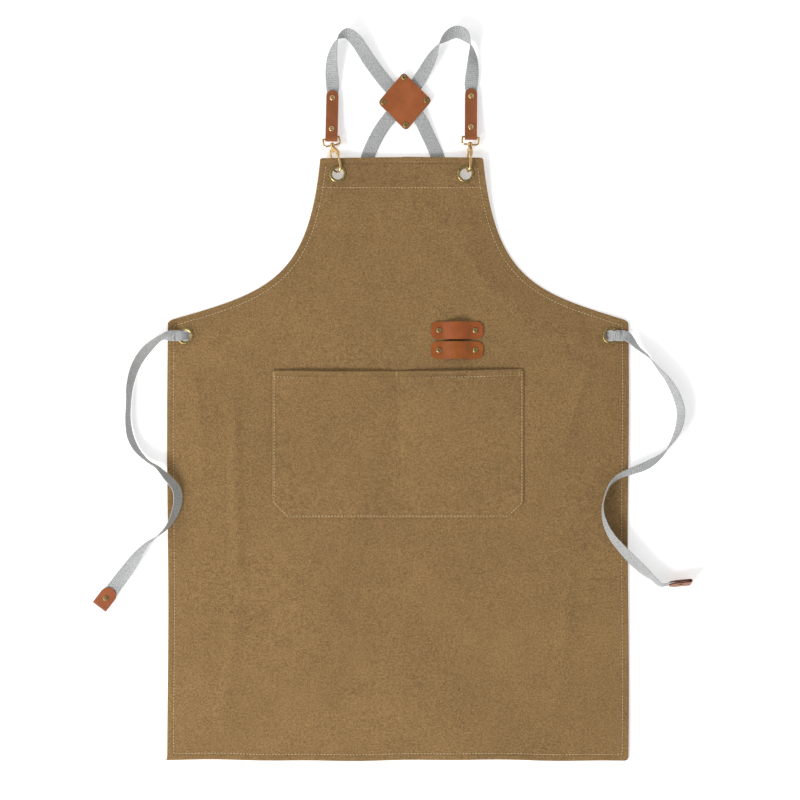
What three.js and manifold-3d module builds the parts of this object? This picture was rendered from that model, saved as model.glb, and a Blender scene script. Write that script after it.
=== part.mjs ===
// A cross-back bib apron of canvas, laid flat with its front up: two webbing straps that cross under a
// leather patch, swivel snap hooks in brass eyelets, a two-compartment pocket, leather tool loops and two
// waist ties.
// Millimetres. +X is to the right, +Y runs from the hem to the bib and +Z comes out of the cloth's front.
// Lengths along the cloth are given above the bottom hem; the last group moves the origin to the middle.
import * as THREE from "three";
import { mergeVertices } from "three/addons/utils/BufferGeometryUtils.js";
import Module from "manifold-3d";

const wasm = await Module();
wasm.setup();

// ---- Driving dimensions ----
const GAP = 0.3; // clearance between pieces that touch

const CANVAS = 1; // one layer
const SKIRT_WIDTH = 686;
const WAIST_HEIGHT = 654; // hem to the waist corners
const APRON_LENGTH = 898; // hem to the bib's top edge
const STRAP_RISE = 193; // the bib's top edge to the top of the strap loops
const OBJECT_LENGTH = APRON_LENGTH + STRAP_RISE;
const BIB_WIDTH = 242;
const BIB_SHIFT = 5.5; // the bib lies this far to the right of the skirt's middle
const ARMHOLE_TOP = new THREE.Vector2(BIB_WIDTH / 2 + 18, WAIST_HEIGHT + 57); // curve handle at the bib
const ARMHOLE_WAIST = new THREE.Vector2(BIB_WIDTH / 2 + 83, WAIST_HEIGHT + 42); // and at the waist
const CORNER_RADIUS = 4;
const HEM_WIDTH = 12;
const BIB_HEM = 50; // deep turned hem across the bib's top
const BIB_FOLD = APRON_LENGTH - 118; // above this height the bib rises towards its hooks
const BIB_RISE = THREE.MathUtils.degToRad(3.8);

const WEBBING_WIDTH = 20;
const WEBBING = 1.5;
const LEATHER = 1.6;

const EYELET_BORE = 16.5;
const EYELET_FLANGE = 26.6;
const EYELET_HEIGHT = 2; // rolled rim above the cloth
const EYELET_WALL = 0.6;
const EYELET_INSET = 26; // centre in from the edges
const WASHER = 0.9;
const UNDER_STRAP = 0.1; // between the surface and the webbing that lies on it
const OVER_STRAP = 0.2; // between that webbing and the washers above it
const CLOTH_LIFT = UNDER_STRAP + WEBBING + OVER_STRAP + WASHER + GAP; // the cloth's back off the surface
const WAIST_EYELET_DROP = 22; // below the waist corner

const POCKET_WIDTH = 374;
const POCKET_HEIGHT = 220;
const POCKET_BASE = 361; // hem to the pocket's bottom edge
const POCKET_CHAMFER = 23;
const POCKET_FULLNESS = 5.6; // how far the pocket's front stands off the cloth
const POCKET_SEAM = 5; // width of each sewn-down edge
const POCKET_HEM = 12;

const TOOL_LOOP = new THREE.Vector2(77.5, 26);
const TOOL_LOOP_BOW = 6;
const TOOL_LOOP_X = 88;
const TOOL_LOOP_HEIGHTS = [610.5, 640];
const TOOL_RIVET_SPACING = 54;

const RIVET_POST = 3; // diameters
const RIVET_CAP = 9;
const RIVET_DOME = 1.6;
const RIVET_BASE = 0.9;

const PATCH_DIAGONALS = new THREE.Vector2(80, 87);
const PATCH_CORNER = 6;
const PATCH_CENTRE = new THREE.Vector2(BIB_SHIFT + 4.8, APRON_LENGTH + 82.5);
const PATCH_LEAN = THREE.MathUtils.degToRad(2.3);
const PATCH_RIVET_INSET = 8;

const TAB_WIDTH = 18;
const TAB_LENGTH = 77;
const TAB_RIVETS = [11.5, 58]; // from the rounded end
const TAB_OPEN_END_Z = 4.4; // middle of the webbing where it enters the tab
const TIP_WIDTH = 24;
const TIP_LENGTH = 34;
const TIP_RIVET = 17; // from the rounded end

const LOOP_WIRE = 3; // the snap hook's strap loop
const LOOP_WIDTH = 27.6;
const LOOP_REACH = 11; // bar to the swivel collar
const HOOK_WIRE = 3.8;
const HOOK_HALF_WIDTH = 8; // shank axis to the spine's middle
const HOOK_REACH = 51; // bar to the bottom of the bow
const HOOK_HEIGHT = 10.2; // shank axis above the surface

// ---- Sides: the left hook lies turned over, the right one stands on its edge ----
const SIDES = [
  { name: "left", sign: -1, lean: 11.5, turn: 46, bowAngle: 88, slack: 2.7, tabOffset: 0.8, tabLean: -1.2 },
  { name: "right", sign: 1, lean: -4, turn: 76, bowAngle: 45, slack: 0.6, tabOffset: 0.3, tabLean: -0.5 },
];

// ---- Worked-out places ----
const FACE = CLOTH_LIFT + CANVAS; // front face of a single layer
const BIB_BACK = FACE - 2 * CANVAS;
const BORE_R = EYELET_BORE / 2;
const FLANGE_R = EYELET_FLANGE / 2;
const BARREL_R = BORE_R + EYELET_WALL;
const SLOT = WEBBING + 2 * GAP; // room for the webbing between two leathers
const POST_R = RIVET_POST / 2;
const RIVET_BORE = POST_R + GAP;
const rad = THREE.MathUtils.degToRad;

// ---- Solids ----
function solid(geometry, matrix) {
  const world = new THREE.BufferGeometry();
  const source = geometry.index ? geometry.toNonIndexed() : geometry;
  world.setAttribute("position", source.getAttribute("position").clone());
  if (matrix) {
    world.applyMatrix4(matrix);
  }
  const merged = mergeVertices(world, 1e-3);
  const mesh = new wasm.Mesh({
    numProp: 3,
    vertProperties: merged.attributes.position.array,
    triVerts: new Uint32Array(merged.index.array),
  });
  return new wasm.Manifold(mesh);
}

function geometryOf(manifold) {
  const mesh = manifold.getMesh();
  const geometry = new THREE.BufferGeometry();
  geometry.setAttribute("position", new THREE.BufferAttribute(new Float32Array(mesh.vertProperties), 3));
  geometry.setIndex(new THREE.BufferAttribute(new Uint32Array(mesh.triVerts), 1));
  return geometry;
}

function at(x, y, z) {
  return new THREE.Matrix4().makeTranslation(x, y, z);
}

// A flat outline between two heights.
function plate(shape, low, high, curveSegments = 12) {
  const settings = { depth: high - low, bevelEnabled: false, curveSegments };
  return new THREE.ExtrudeGeometry(shape, settings).translate(0, 0, low);
}

function block(lowX, lowY, lowZ, highX, highY, highZ) {
  const geometry = new THREE.BoxGeometry(highX - lowX, highY - lowY, highZ - lowZ);
  return geometry.translate((lowX + highX) / 2, (lowY + highY) / 2, (lowZ + highZ) / 2);
}

// A drum along Z between two heights.
function drum(radius, low, high, segments = 20) {
  const geometry = new THREE.CylinderGeometry(radius, radius, high - low, segments);
  return geometry.rotateX(Math.PI / 2).translate(0, 0, (low + high) / 2);
}

function turned(profile, segments = 24) {
  const points = profile.map(([r, z]) => new THREE.Vector2(r, z));
  return new THREE.LatheGeometry(points, segments).rotateX(Math.PI / 2);
}

function roundedOutline(corners, radius) {
  const shape = new THREE.Shape();
  corners.forEach((corner, i) => {
    const before = corners[(i + corners.length - 1) % corners.length];
    const after = corners[(i + 1) % corners.length];
    const into = corner.clone().sub(before).normalize();
    const out = after.clone().sub(corner).normalize();
    const turn = Math.abs(into.angleTo(out));
    const cut = radius * Math.tan(turn / 2);
    const start = corner.clone().addScaledVector(into, -cut);
    const end = corner.clone().addScaledVector(out, cut);
    if (i === 0) {
      shape.moveTo(start.x, start.y);
    } else {
      shape.lineTo(start.x, start.y);
    }
    shape.quadraticCurveTo(corner.x, corner.y, end.x, end.y);
  });
  shape.closePath();
  return shape;
}

// A bar of round section along a curve.
function rod(curve, radius, steps, sides = 10) {
  const section = new THREE.Shape();
  section.absarc(0, 0, radius, 0, 2 * Math.PI, false);
  const points = section.getSpacedPoints(sides).slice(0, sides);
  const shape = new THREE.Shape(points);
  return new THREE.ExtrudeGeometry(shape, { steps, extrudePath: curve, bevelEnabled: false });
}

// Flat webbing along a route. Each stop is [x, y, z, roll in degrees, width]: roll 0 lies flat, 90 stands on
// its left edge with the right-hand edge up.
function webbingAlong(stops, stepsPerStop) {
  const path = new THREE.CatmullRomCurve3(stops.map(([x, y, z]) => new THREE.Vector3(x, y, z)));
  const forms = stops.map(([, , , roll, width]) => new THREE.Vector2(rad(roll), width));
  const form = new THREE.SplineCurve(forms);
  const steps = (stops.length - 1) * stepsPerStop;
  const geometry = new THREE.BoxGeometry(1, WEBBING, 1, 1, 1, steps);
  const places = geometry.getAttribute("position");
  const up = new THREE.Vector3(0, 0, 1);
  const stations = Array.from({ length: steps + 1 }, (_, i) => {
    const along = path.getTangent(i / steps);
    const right = new THREE.Vector3().crossVectors(along, up).normalize();
    const normal = new THREE.Vector3().crossVectors(right, along);
    const { x: roll, y: width } = form.getPoint(i / steps);
    const across = right.clone().multiplyScalar(Math.cos(roll)).addScaledVector(normal, Math.sin(roll));
    const face = normal.clone().multiplyScalar(Math.cos(roll)).addScaledVector(right, -Math.sin(roll));
    return { middle: path.getPoint(i / steps), across: across.multiplyScalar(width), face };
  });
  const place = new THREE.Vector3();
  for (let i = 0; i < places.count; i += 1) {
    const station = stations[Math.round((0.5 - places.getZ(i)) * steps)];
    place.copy(station.middle);
    place.addScaledVector(station.across, places.getX(i));
    place.addScaledVector(station.face, places.getY(i));
    places.setXYZ(i, place.x, place.y, place.z);
  }
  return geometry;
}

// ---- Pieces as scene-graph meshes ----
const apron = new THREE.Group();

const LOOKS = {
  canvas: { color: 0x91744c, roughness: 0.95, metalness: 0 },
  webbing: { color: 0xc4c8c8, roughness: 0.9, metalness: 0 },
  leather: { color: 0xa35f3a, roughness: 0.55, metalness: 0 },
  brass: { color: 0xd9bf84, roughness: 0.25, metalness: 1 },
  antique: { color: 0x8f7a4a, roughness: 0.4, metalness: 1 },
};

function piece(parent, name, look, geometry) {
  const mesh = new THREE.Mesh(geometry, new THREE.MeshStandardMaterial(LOOKS[look]));
  mesh.name = name;
  parent.add(mesh);
  return mesh;
}

// ---- Canvas panel ----
function panelOutline(inset, top) {
  const half = SKIRT_WIDTH / 2 - inset;
  const bibHalf = BIB_WIDTH / 2 - inset;
  const mid = BIB_SHIFT;
  const waist = WAIST_HEIGHT - inset;
  const shape = new THREE.Shape();
  shape.moveTo(-half + CORNER_RADIUS, inset);
  shape.lineTo(half - CORNER_RADIUS, inset);
  shape.quadraticCurveTo(half, inset, half, inset + CORNER_RADIUS);
  shape.lineTo(half, waist - CORNER_RADIUS);
  shape.quadraticCurveTo(half, waist, half - CORNER_RADIUS, waist + CORNER_RADIUS / 3);
  const cut = inset * 0.8; // the armhole's handles move in and down with the edge
  shape.bezierCurveTo(
    mid + ARMHOLE_WAIST.x - cut, ARMHOLE_WAIST.y - cut,
    mid + ARMHOLE_TOP.x - cut, ARMHOLE_TOP.y - cut,
    mid + bibHalf, top,
  );
  shape.lineTo(mid - bibHalf, top);
  shape.bezierCurveTo(
    mid - ARMHOLE_TOP.x + cut, ARMHOLE_TOP.y - cut,
    mid - ARMHOLE_WAIST.x + cut, ARMHOLE_WAIST.y - cut,
    -half + CORNER_RADIUS, waist + CORNER_RADIUS / 3,
  );
  shape.quadraticCurveTo(-half, waist, -half, waist - CORNER_RADIUS);
  shape.lineTo(-half, inset + CORNER_RADIUS);
  shape.quadraticCurveTo(-half, inset, -half + CORNER_RADIUS, inset);
  return shape;
}

// Above the fold the cloth, and what is set in it, is raised in step with its height.
const bib = new THREE.Group();
bib.matrixAutoUpdate = false;
bib.matrix.makeShear(0, 0, 0, Math.tan(BIB_RISE), 0, 0);
bib.matrix.setPosition(0, 0, -BIB_FOLD * Math.tan(BIB_RISE));
apron.add(bib);
apron.updateMatrixWorld(true);

const eyelets = [];
for (const side of SIDES) {
  const bibX = BIB_SHIFT + side.sign * (BIB_WIDTH / 2 - EYELET_INSET);
  const bibY = APRON_LENGTH - EYELET_INSET;
  const waistX = side.sign * (SKIRT_WIDTH / 2 - EYELET_INSET);
  const waistY = WAIST_HEIGHT - WAIST_EYELET_DROP;
  eyelets.push({ name: `bib_eyelet_${side.name}`, x: bibX, y: bibY, back: BIB_BACK, onBib: true });
  eyelets.push({ name: `waist_eyelet_${side.name}`, x: waistX, y: waistY, back: CLOTH_LIFT, onBib: false });
}

const toolRivets = TOOL_LOOP_HEIGHTS.flatMap((y) =>
  [-1, 1].map((end) => new THREE.Vector2(TOOL_LOOP_X + (end * TOOL_RIVET_SPACING) / 2, y)),
);

function apronPanel() {
  const cloth = solid(plate(panelOutline(0, APRON_LENGTH), CLOTH_LIFT, FACE, 24));
  const outer = solid(plate(panelOutline(0, APRON_LENGTH), 0, FACE - CANVAS / 2, 24));
  let hem = outer.subtract(solid(plate(panelOutline(HEM_WIDTH, APRON_LENGTH + 1), -1, FACE + 1, 24)));
  for (const { x, y } of eyelets) {
    hem = hem.subtract(solid(drum(FLANGE_R + GAP, -1, CLOTH_LIFT, 24), at(x, y, 0)));
  }
  const wide = SKIRT_WIDTH;
  const hemLine = APRON_LENGTH - BIB_HEM;
  const deepHem = solid(plate(panelOutline(0, APRON_LENGTH), BIB_BACK, FACE - CANVAS / 2, 24)).intersect(
    solid(block(-wide, hemLine, 0, wide, APRON_LENGTH + 1, FACE)),
  );
  let whole = cloth.add(hem).add(deepHem);
  whole = whole.subtract(solid(block(-wide, hemLine, -1, wide, APRON_LENGTH + 1, BIB_BACK)));
  for (const eyelet of eyelets) {
    whole = whole.subtract(solid(drum(BARREL_R + GAP, -1, FACE + 1, 24), at(eyelet.x, eyelet.y, 0)));
  }
  for (const rivet of toolRivets) {
    whole = whole.subtract(solid(drum(RIVET_BORE, -1, FACE + 1, 12), at(rivet.x, rivet.y, 0)));
  }
  const skirt = whole.intersect(solid(block(-wide, -1, -1, wide, BIB_FOLD, FACE + 1)));
  const top = whole.intersect(solid(block(-wide, BIB_FOLD, -1, wide, APRON_LENGTH + 1, FACE + 1)));
  return skirt.add(solid(geometryOf(top), bib.matrix));
}
piece(apron, "apron_panel", "canvas", geometryOf(apronPanel()));

// ---- Eyelets, each clinched through the cloth to its washer ----
function eyeletRing(back) {
  const top = FACE + GAP;
  const foot = back - GAP - WASHER;
  const roll = EYELET_HEIGHT / 2;
  return turned([
    [BORE_R, foot],
    [BARREL_R, foot],
    [BARREL_R, top],
    [FLANGE_R, top],
    [FLANGE_R - 0.4, top + roll],
    [FLANGE_R - 1.6, top + EYELET_HEIGHT - 0.3],
    [(FLANGE_R + BORE_R) / 2, top + EYELET_HEIGHT],
    [BORE_R + 1, top + EYELET_HEIGHT - 0.5],
    [BORE_R, top + roll],
    [BORE_R, foot],
  ]);
}

function washerRing(back) {
  const top = back - GAP;
  return turned([
    [BARREL_R + GAP, top - WASHER],
    [FLANGE_R, top - WASHER],
    [FLANGE_R, top],
    [BARREL_R + GAP, top],
    [BARREL_R + GAP, top - WASHER],
  ]);
}

for (const eyelet of eyelets) {
  const parent = eyelet.onBib ? bib : apron;
  piece(parent, eyelet.name, "antique", eyeletRing(eyelet.back)).position.set(eyelet.x, eyelet.y, 0);
  const washer = piece(parent, `${eyelet.name}_washer`, "antique", washerRing(eyelet.back));
  washer.position.set(eyelet.x, eyelet.y, 0);
}

// ---- Rivets: a domed cap and a flat base on one set post, gripping what lies between two heights ----
function rivetSolid(low, high) {
  const base = low - GAP;
  const cap = high + GAP;
  const capR = RIVET_CAP / 2;
  return turned([
    [0, base - RIVET_BASE],
    [capR - 0.6, base - RIVET_BASE],
    [capR - 0.3, base],
    [POST_R, base],
    [POST_R, cap],
    [capR, cap],
    [capR - 0.3, cap + RIVET_DOME * 0.5],
    [capR * 0.55, cap + RIVET_DOME * 0.92],
    [0, cap + RIVET_DOME],
  ], 16);
}

// ---- Pocket: one canvas piece sewn down round three sides and along the middle ----
function pocket() {
  const half = POCKET_WIDTH / 2;
  const low = FACE + GAP;
  const high = low + POCKET_FULLNESS + CANVAS;
  const outline = (inset, top) => new THREE.Shape([
    new THREE.Vector2(-half + inset + POCKET_CHAMFER, inset),
    new THREE.Vector2(half - inset - POCKET_CHAMFER, inset),
    new THREE.Vector2(half - inset, inset + POCKET_CHAMFER),
    new THREE.Vector2(half - inset, top),
    new THREE.Vector2(-half + inset, top),
    new THREE.Vector2(-half + inset, inset + POCKET_CHAMFER),
  ]);
  const body = solid(plate(outline(0, POCKET_HEIGHT), low, high));
  const space = solid(plate(outline(POCKET_SEAM, POCKET_HEIGHT + 1), low - 1, high - CANVAS));
  const divider = solid(block(-POCKET_SEAM / 2, 1, low, POCKET_SEAM / 2, POCKET_HEIGHT, high - CANVAS / 2));
  const hem = solid(block(
    -half + POCKET_SEAM / 2, POCKET_HEIGHT - POCKET_HEM, high - 1.5 * CANVAS,
    half - POCKET_SEAM / 2, POCKET_HEIGHT, high - CANVAS / 2,
  ));
  return body.subtract(space).add(divider).add(hem);
}
piece(apron, "pocket", "canvas", geometryOf(pocket())).position.y = POCKET_BASE;

// ---- Leather tool loops: riveted at both ends and bowed between, so that tools slide under ----
function toolLoop() {
  const half = TOOL_LOOP.x / 2;
  const span = TOOL_RIVET_SPACING / 2 - RIVET_CAP / 2 - 1;
  const rise = (x) => (Math.abs(x) < span ? TOOL_LOOP_BOW * Math.cos((x / span) * (Math.PI / 2)) : 0);
  const xs = Array.from({ length: 21 }, (_, i) => -half + (i * TOOL_LOOP.x) / 20);
  const low = FACE + GAP;
  const under = xs.map((x) => new THREE.Vector2(x, low + rise(x)));
  const over = xs.map((x) => new THREE.Vector2(x, low + LEATHER + rise(x))).reverse();
  const strip = new THREE.ExtrudeGeometry(new THREE.Shape([...under, ...over]), {
    depth: TOOL_LOOP.y,
    bevelEnabled: false,
  });
  strip.rotateX(Math.PI / 2).translate(0, TOOL_LOOP.y / 2, 0);
  const h = TOOL_LOOP.y / 2;
  const corners = [[-half, -h], [half, -h], [half, h], [-half, h]].map(([x, y]) => new THREE.Vector2(x, y));
  let loop = solid(strip).intersect(solid(plate(roundedOutline(corners, h * 0.85), 0, 40)));
  for (const end of [-1, 1]) {
    const hole = solid(drum(RIVET_BORE, 0, 40, 12), at((end * TOOL_RIVET_SPACING) / 2, 0, 0));
    loop = loop.subtract(hole);
  }
  return loop;
}

["lower", "upper"].forEach((name, row) => {
  const y = TOOL_LOOP_HEIGHTS[row];
  piece(apron, `tool_loop_${name}`, "leather", geometryOf(toolLoop())).position.set(TOOL_LOOP_X, y, 0);
  ["left", "right"].forEach((end, i) => {
    const rivet = rivetSolid(CLOTH_LIFT, FACE + GAP + LEATHER);
    const x = toolRivets[2 * row + i].x;
    piece(apron, `tool_loop_${name}_rivet_${end}`, "antique", rivet).position.set(x, y, 0);
  });
});

// ---- Cross patch: two leathers round the crossing, riveted at the corners between the straps ----
const PATCH_LOW = GAP + RIVET_BASE + 0.05; // underside of the back leather
const LOWER_STRAP_Z = PATCH_LOW + LEATHER + GAP + WEBBING / 2;
const UPPER_STRAP_Z = LOWER_STRAP_Z + WEBBING + GAP;
const PATCH_FRONT_LOW = UPPER_STRAP_Z + WEBBING / 2 + GAP;
const patchFrame = new THREE.Group();
patchFrame.position.set(PATCH_CENTRE.x, PATCH_CENTRE.y, 0);
patchFrame.rotation.z = PATCH_LEAN;
apron.add(patchFrame);

function patchCorners(inset) {
  const x = PATCH_DIAGONALS.x / 2 - inset;
  const y = PATCH_DIAGONALS.y / 2 - inset;
  return [[0, -y], [x, 0], [0, y], [-x, 0]].map(([px, py]) => new THREE.Vector2(px, py));
}

const patchRivets = patchCorners(PATCH_RIVET_INSET);

function patchLeather(low) {
  let leather = solid(plate(roundedOutline(patchCorners(0), PATCH_CORNER), low, low + LEATHER, 6));
  for (const corner of patchRivets) {
    leather = leather.subtract(solid(drum(RIVET_BORE, -1, 20, 12), at(corner.x, corner.y, 0)));
  }
  return geometryOf(leather);
}
piece(patchFrame, "cross_patch_back", "leather", patchLeather(PATCH_LOW));
piece(patchFrame, "cross_patch_front", "leather", patchLeather(PATCH_FRONT_LOW));
["bottom", "right", "top", "left"].forEach((name, i) => {
  const rivet = piece(
    patchFrame, `cross_patch_rivet_${name}`, "antique",
    rivetSolid(PATCH_LOW, PATCH_FRONT_LOW + LEATHER),
  );
  rivet.position.set(patchRivets[i].x, patchRivets[i].y, 0);
});

// ---- Folded leather: a strip folded round something and riveted over the webbing ----
// Along +Y from the rounded open end to the fold, the webbing's middle at z = 0.
function foldedLeather(length, width, eyeRadius, eyePlay, rivets) {
  const layer = SLOT / 2 + LEATHER;
  const outerEye = eyeRadius + LEATHER;
  const eyeEnd = length - outerEye;
  const eyeStart = eyeEnd - 2 * eyePlay;
  const across = (radius, y) => {
    const geometry = new THREE.CylinderGeometry(radius, radius, width, 20).rotateZ(Math.PI / 2);
    return solid(geometry, at(0, y, 0));
  };
  const half = width / 2;
  let leather = solid(block(-half, 0, -layer, half, eyeEnd, layer));
  leather = leather.add(solid(block(-half, eyeStart, -outerEye, half, eyeEnd, outerEye)));
  leather = leather.add(across(outerEye, eyeStart)).add(across(outerEye, eyeEnd));
  leather = leather.subtract(solid(block(-width, -1, -SLOT / 2, width, eyeEnd, SLOT / 2)));
  leather = leather.subtract(solid(block(-width, eyeStart, -eyeRadius, width, eyeEnd, eyeRadius)));
  const wide = new THREE.CylinderGeometry(eyeRadius, eyeRadius, 2 * width, 20).rotateZ(Math.PI / 2);
  leather = leather.subtract(solid(wide, at(0, eyeStart, 0))).subtract(solid(wide, at(0, eyeEnd, 0)));
  const outline = new THREE.Shape();
  outline.moveTo(half, half);
  outline.lineTo(half, length + 1);
  outline.lineTo(-half, length + 1);
  outline.lineTo(-half, half);
  outline.absellipse(0, half, half, half, Math.PI, 2 * Math.PI, false);
  leather = leather.intersect(solid(plate(outline, -20, 20, 8)));
  for (const y of rivets) {
    leather = leather.subtract(solid(drum(RIVET_BORE, -20, 20, 12), at(0, y, 0)));
  }
  return geometryOf(leather);
}

// ---- Snap hooks ----
// A hook's frame: +Y towards the strap, the bar's middle at the origin, the spine on +X and the gate on -X.
const LOOP_HALF = LOOP_WIDTH / 2 - LOOP_WIRE / 2;
const COLLAR_R = 3.7;
const COLLAR_HALF = 2.2;
const SHANK_R = 1.7;
const SHANK_GAP = 0.35;
const HEAD_R = 2.9;
const HEAD = 1.4;
const WIRE_R = HOOK_WIRE / 2;
const BOW_CENTRE = -(HOOK_REACH - HOOK_HALF_WIDTH);
const SHOULDER = -(LOOP_REACH + COLLAR_HALF + GAP); // top of the hook's body under the collar
const PIVOT = new THREE.Vector2(-4.6, SHOULDER - 5.2);
const PIN_R = 0.8;
const SPRING_ROOM = 0.9; // between the gate's knuckle and the end of its slot
const NOSE_GAP = 2 * GAP; // the gate's tip sweeps past the hook's nose
const KNUCKLE_R = 2.2;
const KNUCKLE_HALF = 0.9; // half the gate's knuckle across the hook's thickness
const BODY_HALF = 2.4; // half the body's thickness
const GATE_TIP = new THREE.Vector2(-HOOK_HALF_WIDTH, BOW_CENTRE + 4.2);

function drumAlongY(radius, low, high, segments = 20) {
  return new THREE.CylinderGeometry(radius, radius, high - low, segments).translate(0, (low + high) / 2, 0);
}

function strapLoop() {
  const corner = 4.5;
  const path = new THREE.CurvePath();
  const points = [
    [-LOOP_HALF, 0], [-LOOP_HALF, -LOOP_REACH + corner],
    [-LOOP_HALF + corner, -LOOP_REACH], [LOOP_HALF - corner, -LOOP_REACH],
    [LOOP_HALF, -LOOP_REACH + corner], [LOOP_HALF, 0],
  ].map(([x, y]) => new THREE.Vector3(x, y, 0));
  path.add(new THREE.LineCurve3(points[0], points[1]));
  const lowLeft = new THREE.Vector3(-LOOP_HALF, -LOOP_REACH, 0);
  const lowRight = new THREE.Vector3(LOOP_HALF, -LOOP_REACH, 0);
  path.add(new THREE.QuadraticBezierCurve3(points[1], lowLeft, points[2]));
  path.add(new THREE.LineCurve3(points[2], points[3]));
  path.add(new THREE.QuadraticBezierCurve3(points[3], lowRight, points[4]));
  path.add(new THREE.LineCurve3(points[4], points[5]));
  const r = LOOP_WIRE / 2;
  const bar = new THREE.CylinderGeometry(r, r, 2 * LOOP_HALF, 12).rotateZ(Math.PI / 2);
  const ball = new THREE.SphereGeometry(r, 12, 8);
  let loop = solid(rod(path, r, 30)).add(solid(bar));
  for (const x of [-LOOP_HALF, LOOP_HALF]) {
    loop = loop.add(solid(ball, at(x, 0, 0)));
  }
  loop = loop.add(solid(drumAlongY(COLLAR_R, -LOOP_REACH - COLLAR_HALF, -LOOP_REACH + COLLAR_HALF)));
  const bore = drumAlongY(SHANK_R + SHANK_GAP, -LOOP_REACH - 5, -LOOP_REACH + 5);
  return geometryOf(loop.subtract(solid(bore)));
}

function hookBody() {
  const headTop = -LOOP_REACH + COLLAR_HALF + GAP + HEAD;
  let body = solid(drumAlongY(HEAD_R, headTop - HEAD, headTop));
  body = body.add(solid(drumAlongY(SHANK_R, SHOULDER - 2, headTop - 0.2)));
  body = body.add(solid(drumAlongY(COLLAR_R - 0.6, SHOULDER - 3, SHOULDER)));
  const cheeks = new THREE.Shape([
    new THREE.Vector2(-2.6, SHOULDER - 0.4),
    new THREE.Vector2(2.6, SHOULDER - 0.4),
    new THREE.Vector2(HOOK_HALF_WIDTH + WIRE_R, SHOULDER - 7.5),
    new THREE.Vector2(HOOK_HALF_WIDTH + WIRE_R, SHOULDER - 14),
    new THREE.Vector2(HOOK_HALF_WIDTH - WIRE_R, SHOULDER - 14),
    new THREE.Vector2(HOOK_HALF_WIDTH - WIRE_R - 1.2, SHOULDER - 9.4),
    new THREE.Vector2(0.2, SHOULDER - 6),
    new THREE.Vector2(-2.4, SHOULDER - 8.4),
    new THREE.Vector2(-6.4, SHOULDER - 7.6),
    new THREE.Vector2(-7, SHOULDER - 4.4),
  ]);
  body = body.add(solid(plate(cheeks, -BODY_HALF, BODY_HALF)));
  const spine = new THREE.CurvePath();
  const top = new THREE.Vector3(HOOK_HALF_WIDTH, SHOULDER - 11, 0);
  const low = new THREE.Vector3(HOOK_HALF_WIDTH, BOW_CENTRE, 0);
  spine.add(new THREE.LineCurve3(top, low));
  const bow = new THREE.CatmullRomCurve3(Array.from({ length: 9 }, (_, i) => {
    const angle = -(i / 8) * Math.PI;
    const x = HOOK_HALF_WIDTH * Math.cos(angle);
    return new THREE.Vector3(x, BOW_CENTRE + HOOK_HALF_WIDTH * Math.sin(angle), 0);
  }));
  spine.add(bow);
  spine.add(new THREE.LineCurve3(bow.getPoint(1), new THREE.Vector3(GATE_TIP.x, GATE_TIP.y - NOSE_GAP, 0)));
  body = body.add(solid(rod(spine, WIRE_R, 26)));
  const slot = KNUCKLE_HALF + GAP;
  const slotWall = PIVOT.x + KNUCKLE_R + SPRING_ROOM;
  body = body.subtract(solid(block(-12, SHOULDER - 12, -slot, slotWall, SHOULDER - 2.4, slot)));
  return geometryOf(body.subtract(solid(drum(PIN_R + 0.05, -5, 5, 16), at(PIVOT.x, PIVOT.y, 0))));
}

// The gate's frame is at its pivot, so that the gate swings about its own origin.
function gate() {
  const tip = GATE_TIP.clone().sub(PIVOT);
  const thick = 1.4;
  const arm = new THREE.Shape([
    new THREE.Vector2(-KNUCKLE_R, 0),
    new THREE.Vector2(KNUCKLE_R * 0.6, -1),
    new THREE.Vector2(tip.x + thick, -4.5),
    new THREE.Vector2(tip.x + thick, tip.y),
    new THREE.Vector2(tip.x - thick, tip.y),
    new THREE.Vector2(tip.x - thick, -4.5),
  ]);
  let lever = solid(plate(arm, -KNUCKLE_HALF, KNUCKLE_HALF));
  lever = lever.add(solid(drum(KNUCKLE_R, -KNUCKLE_HALF, KNUCKLE_HALF, 16)));
  lever = lever.add(solid(block(tip.x - thick, tip.y, -WIRE_R * 0.8, tip.x + thick, -5.2, WIRE_R * 0.8)));
  return geometryOf(lever.subtract(solid(drum(PIN_R + GAP, -5, 5, 16))));
}

function gatePin() {
  return drum(PIN_R, -BODY_HALF - 0.3, BODY_HALF + 0.3, 16);
}

// A leaf spring between the body's slot and the gate's heel.
function gateSpring() {
  const path = new THREE.CatmullRomCurve3([
    new THREE.Vector3(KNUCKLE_R + 0.45, 2.3, 0),
    new THREE.Vector3(KNUCKLE_R + 0.62, 0.4, 0),
    new THREE.Vector3(KNUCKLE_R + 0.35, -1.4, 0),
  ]);
  return rod(path, 0.22, 6, 8);
}

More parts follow.
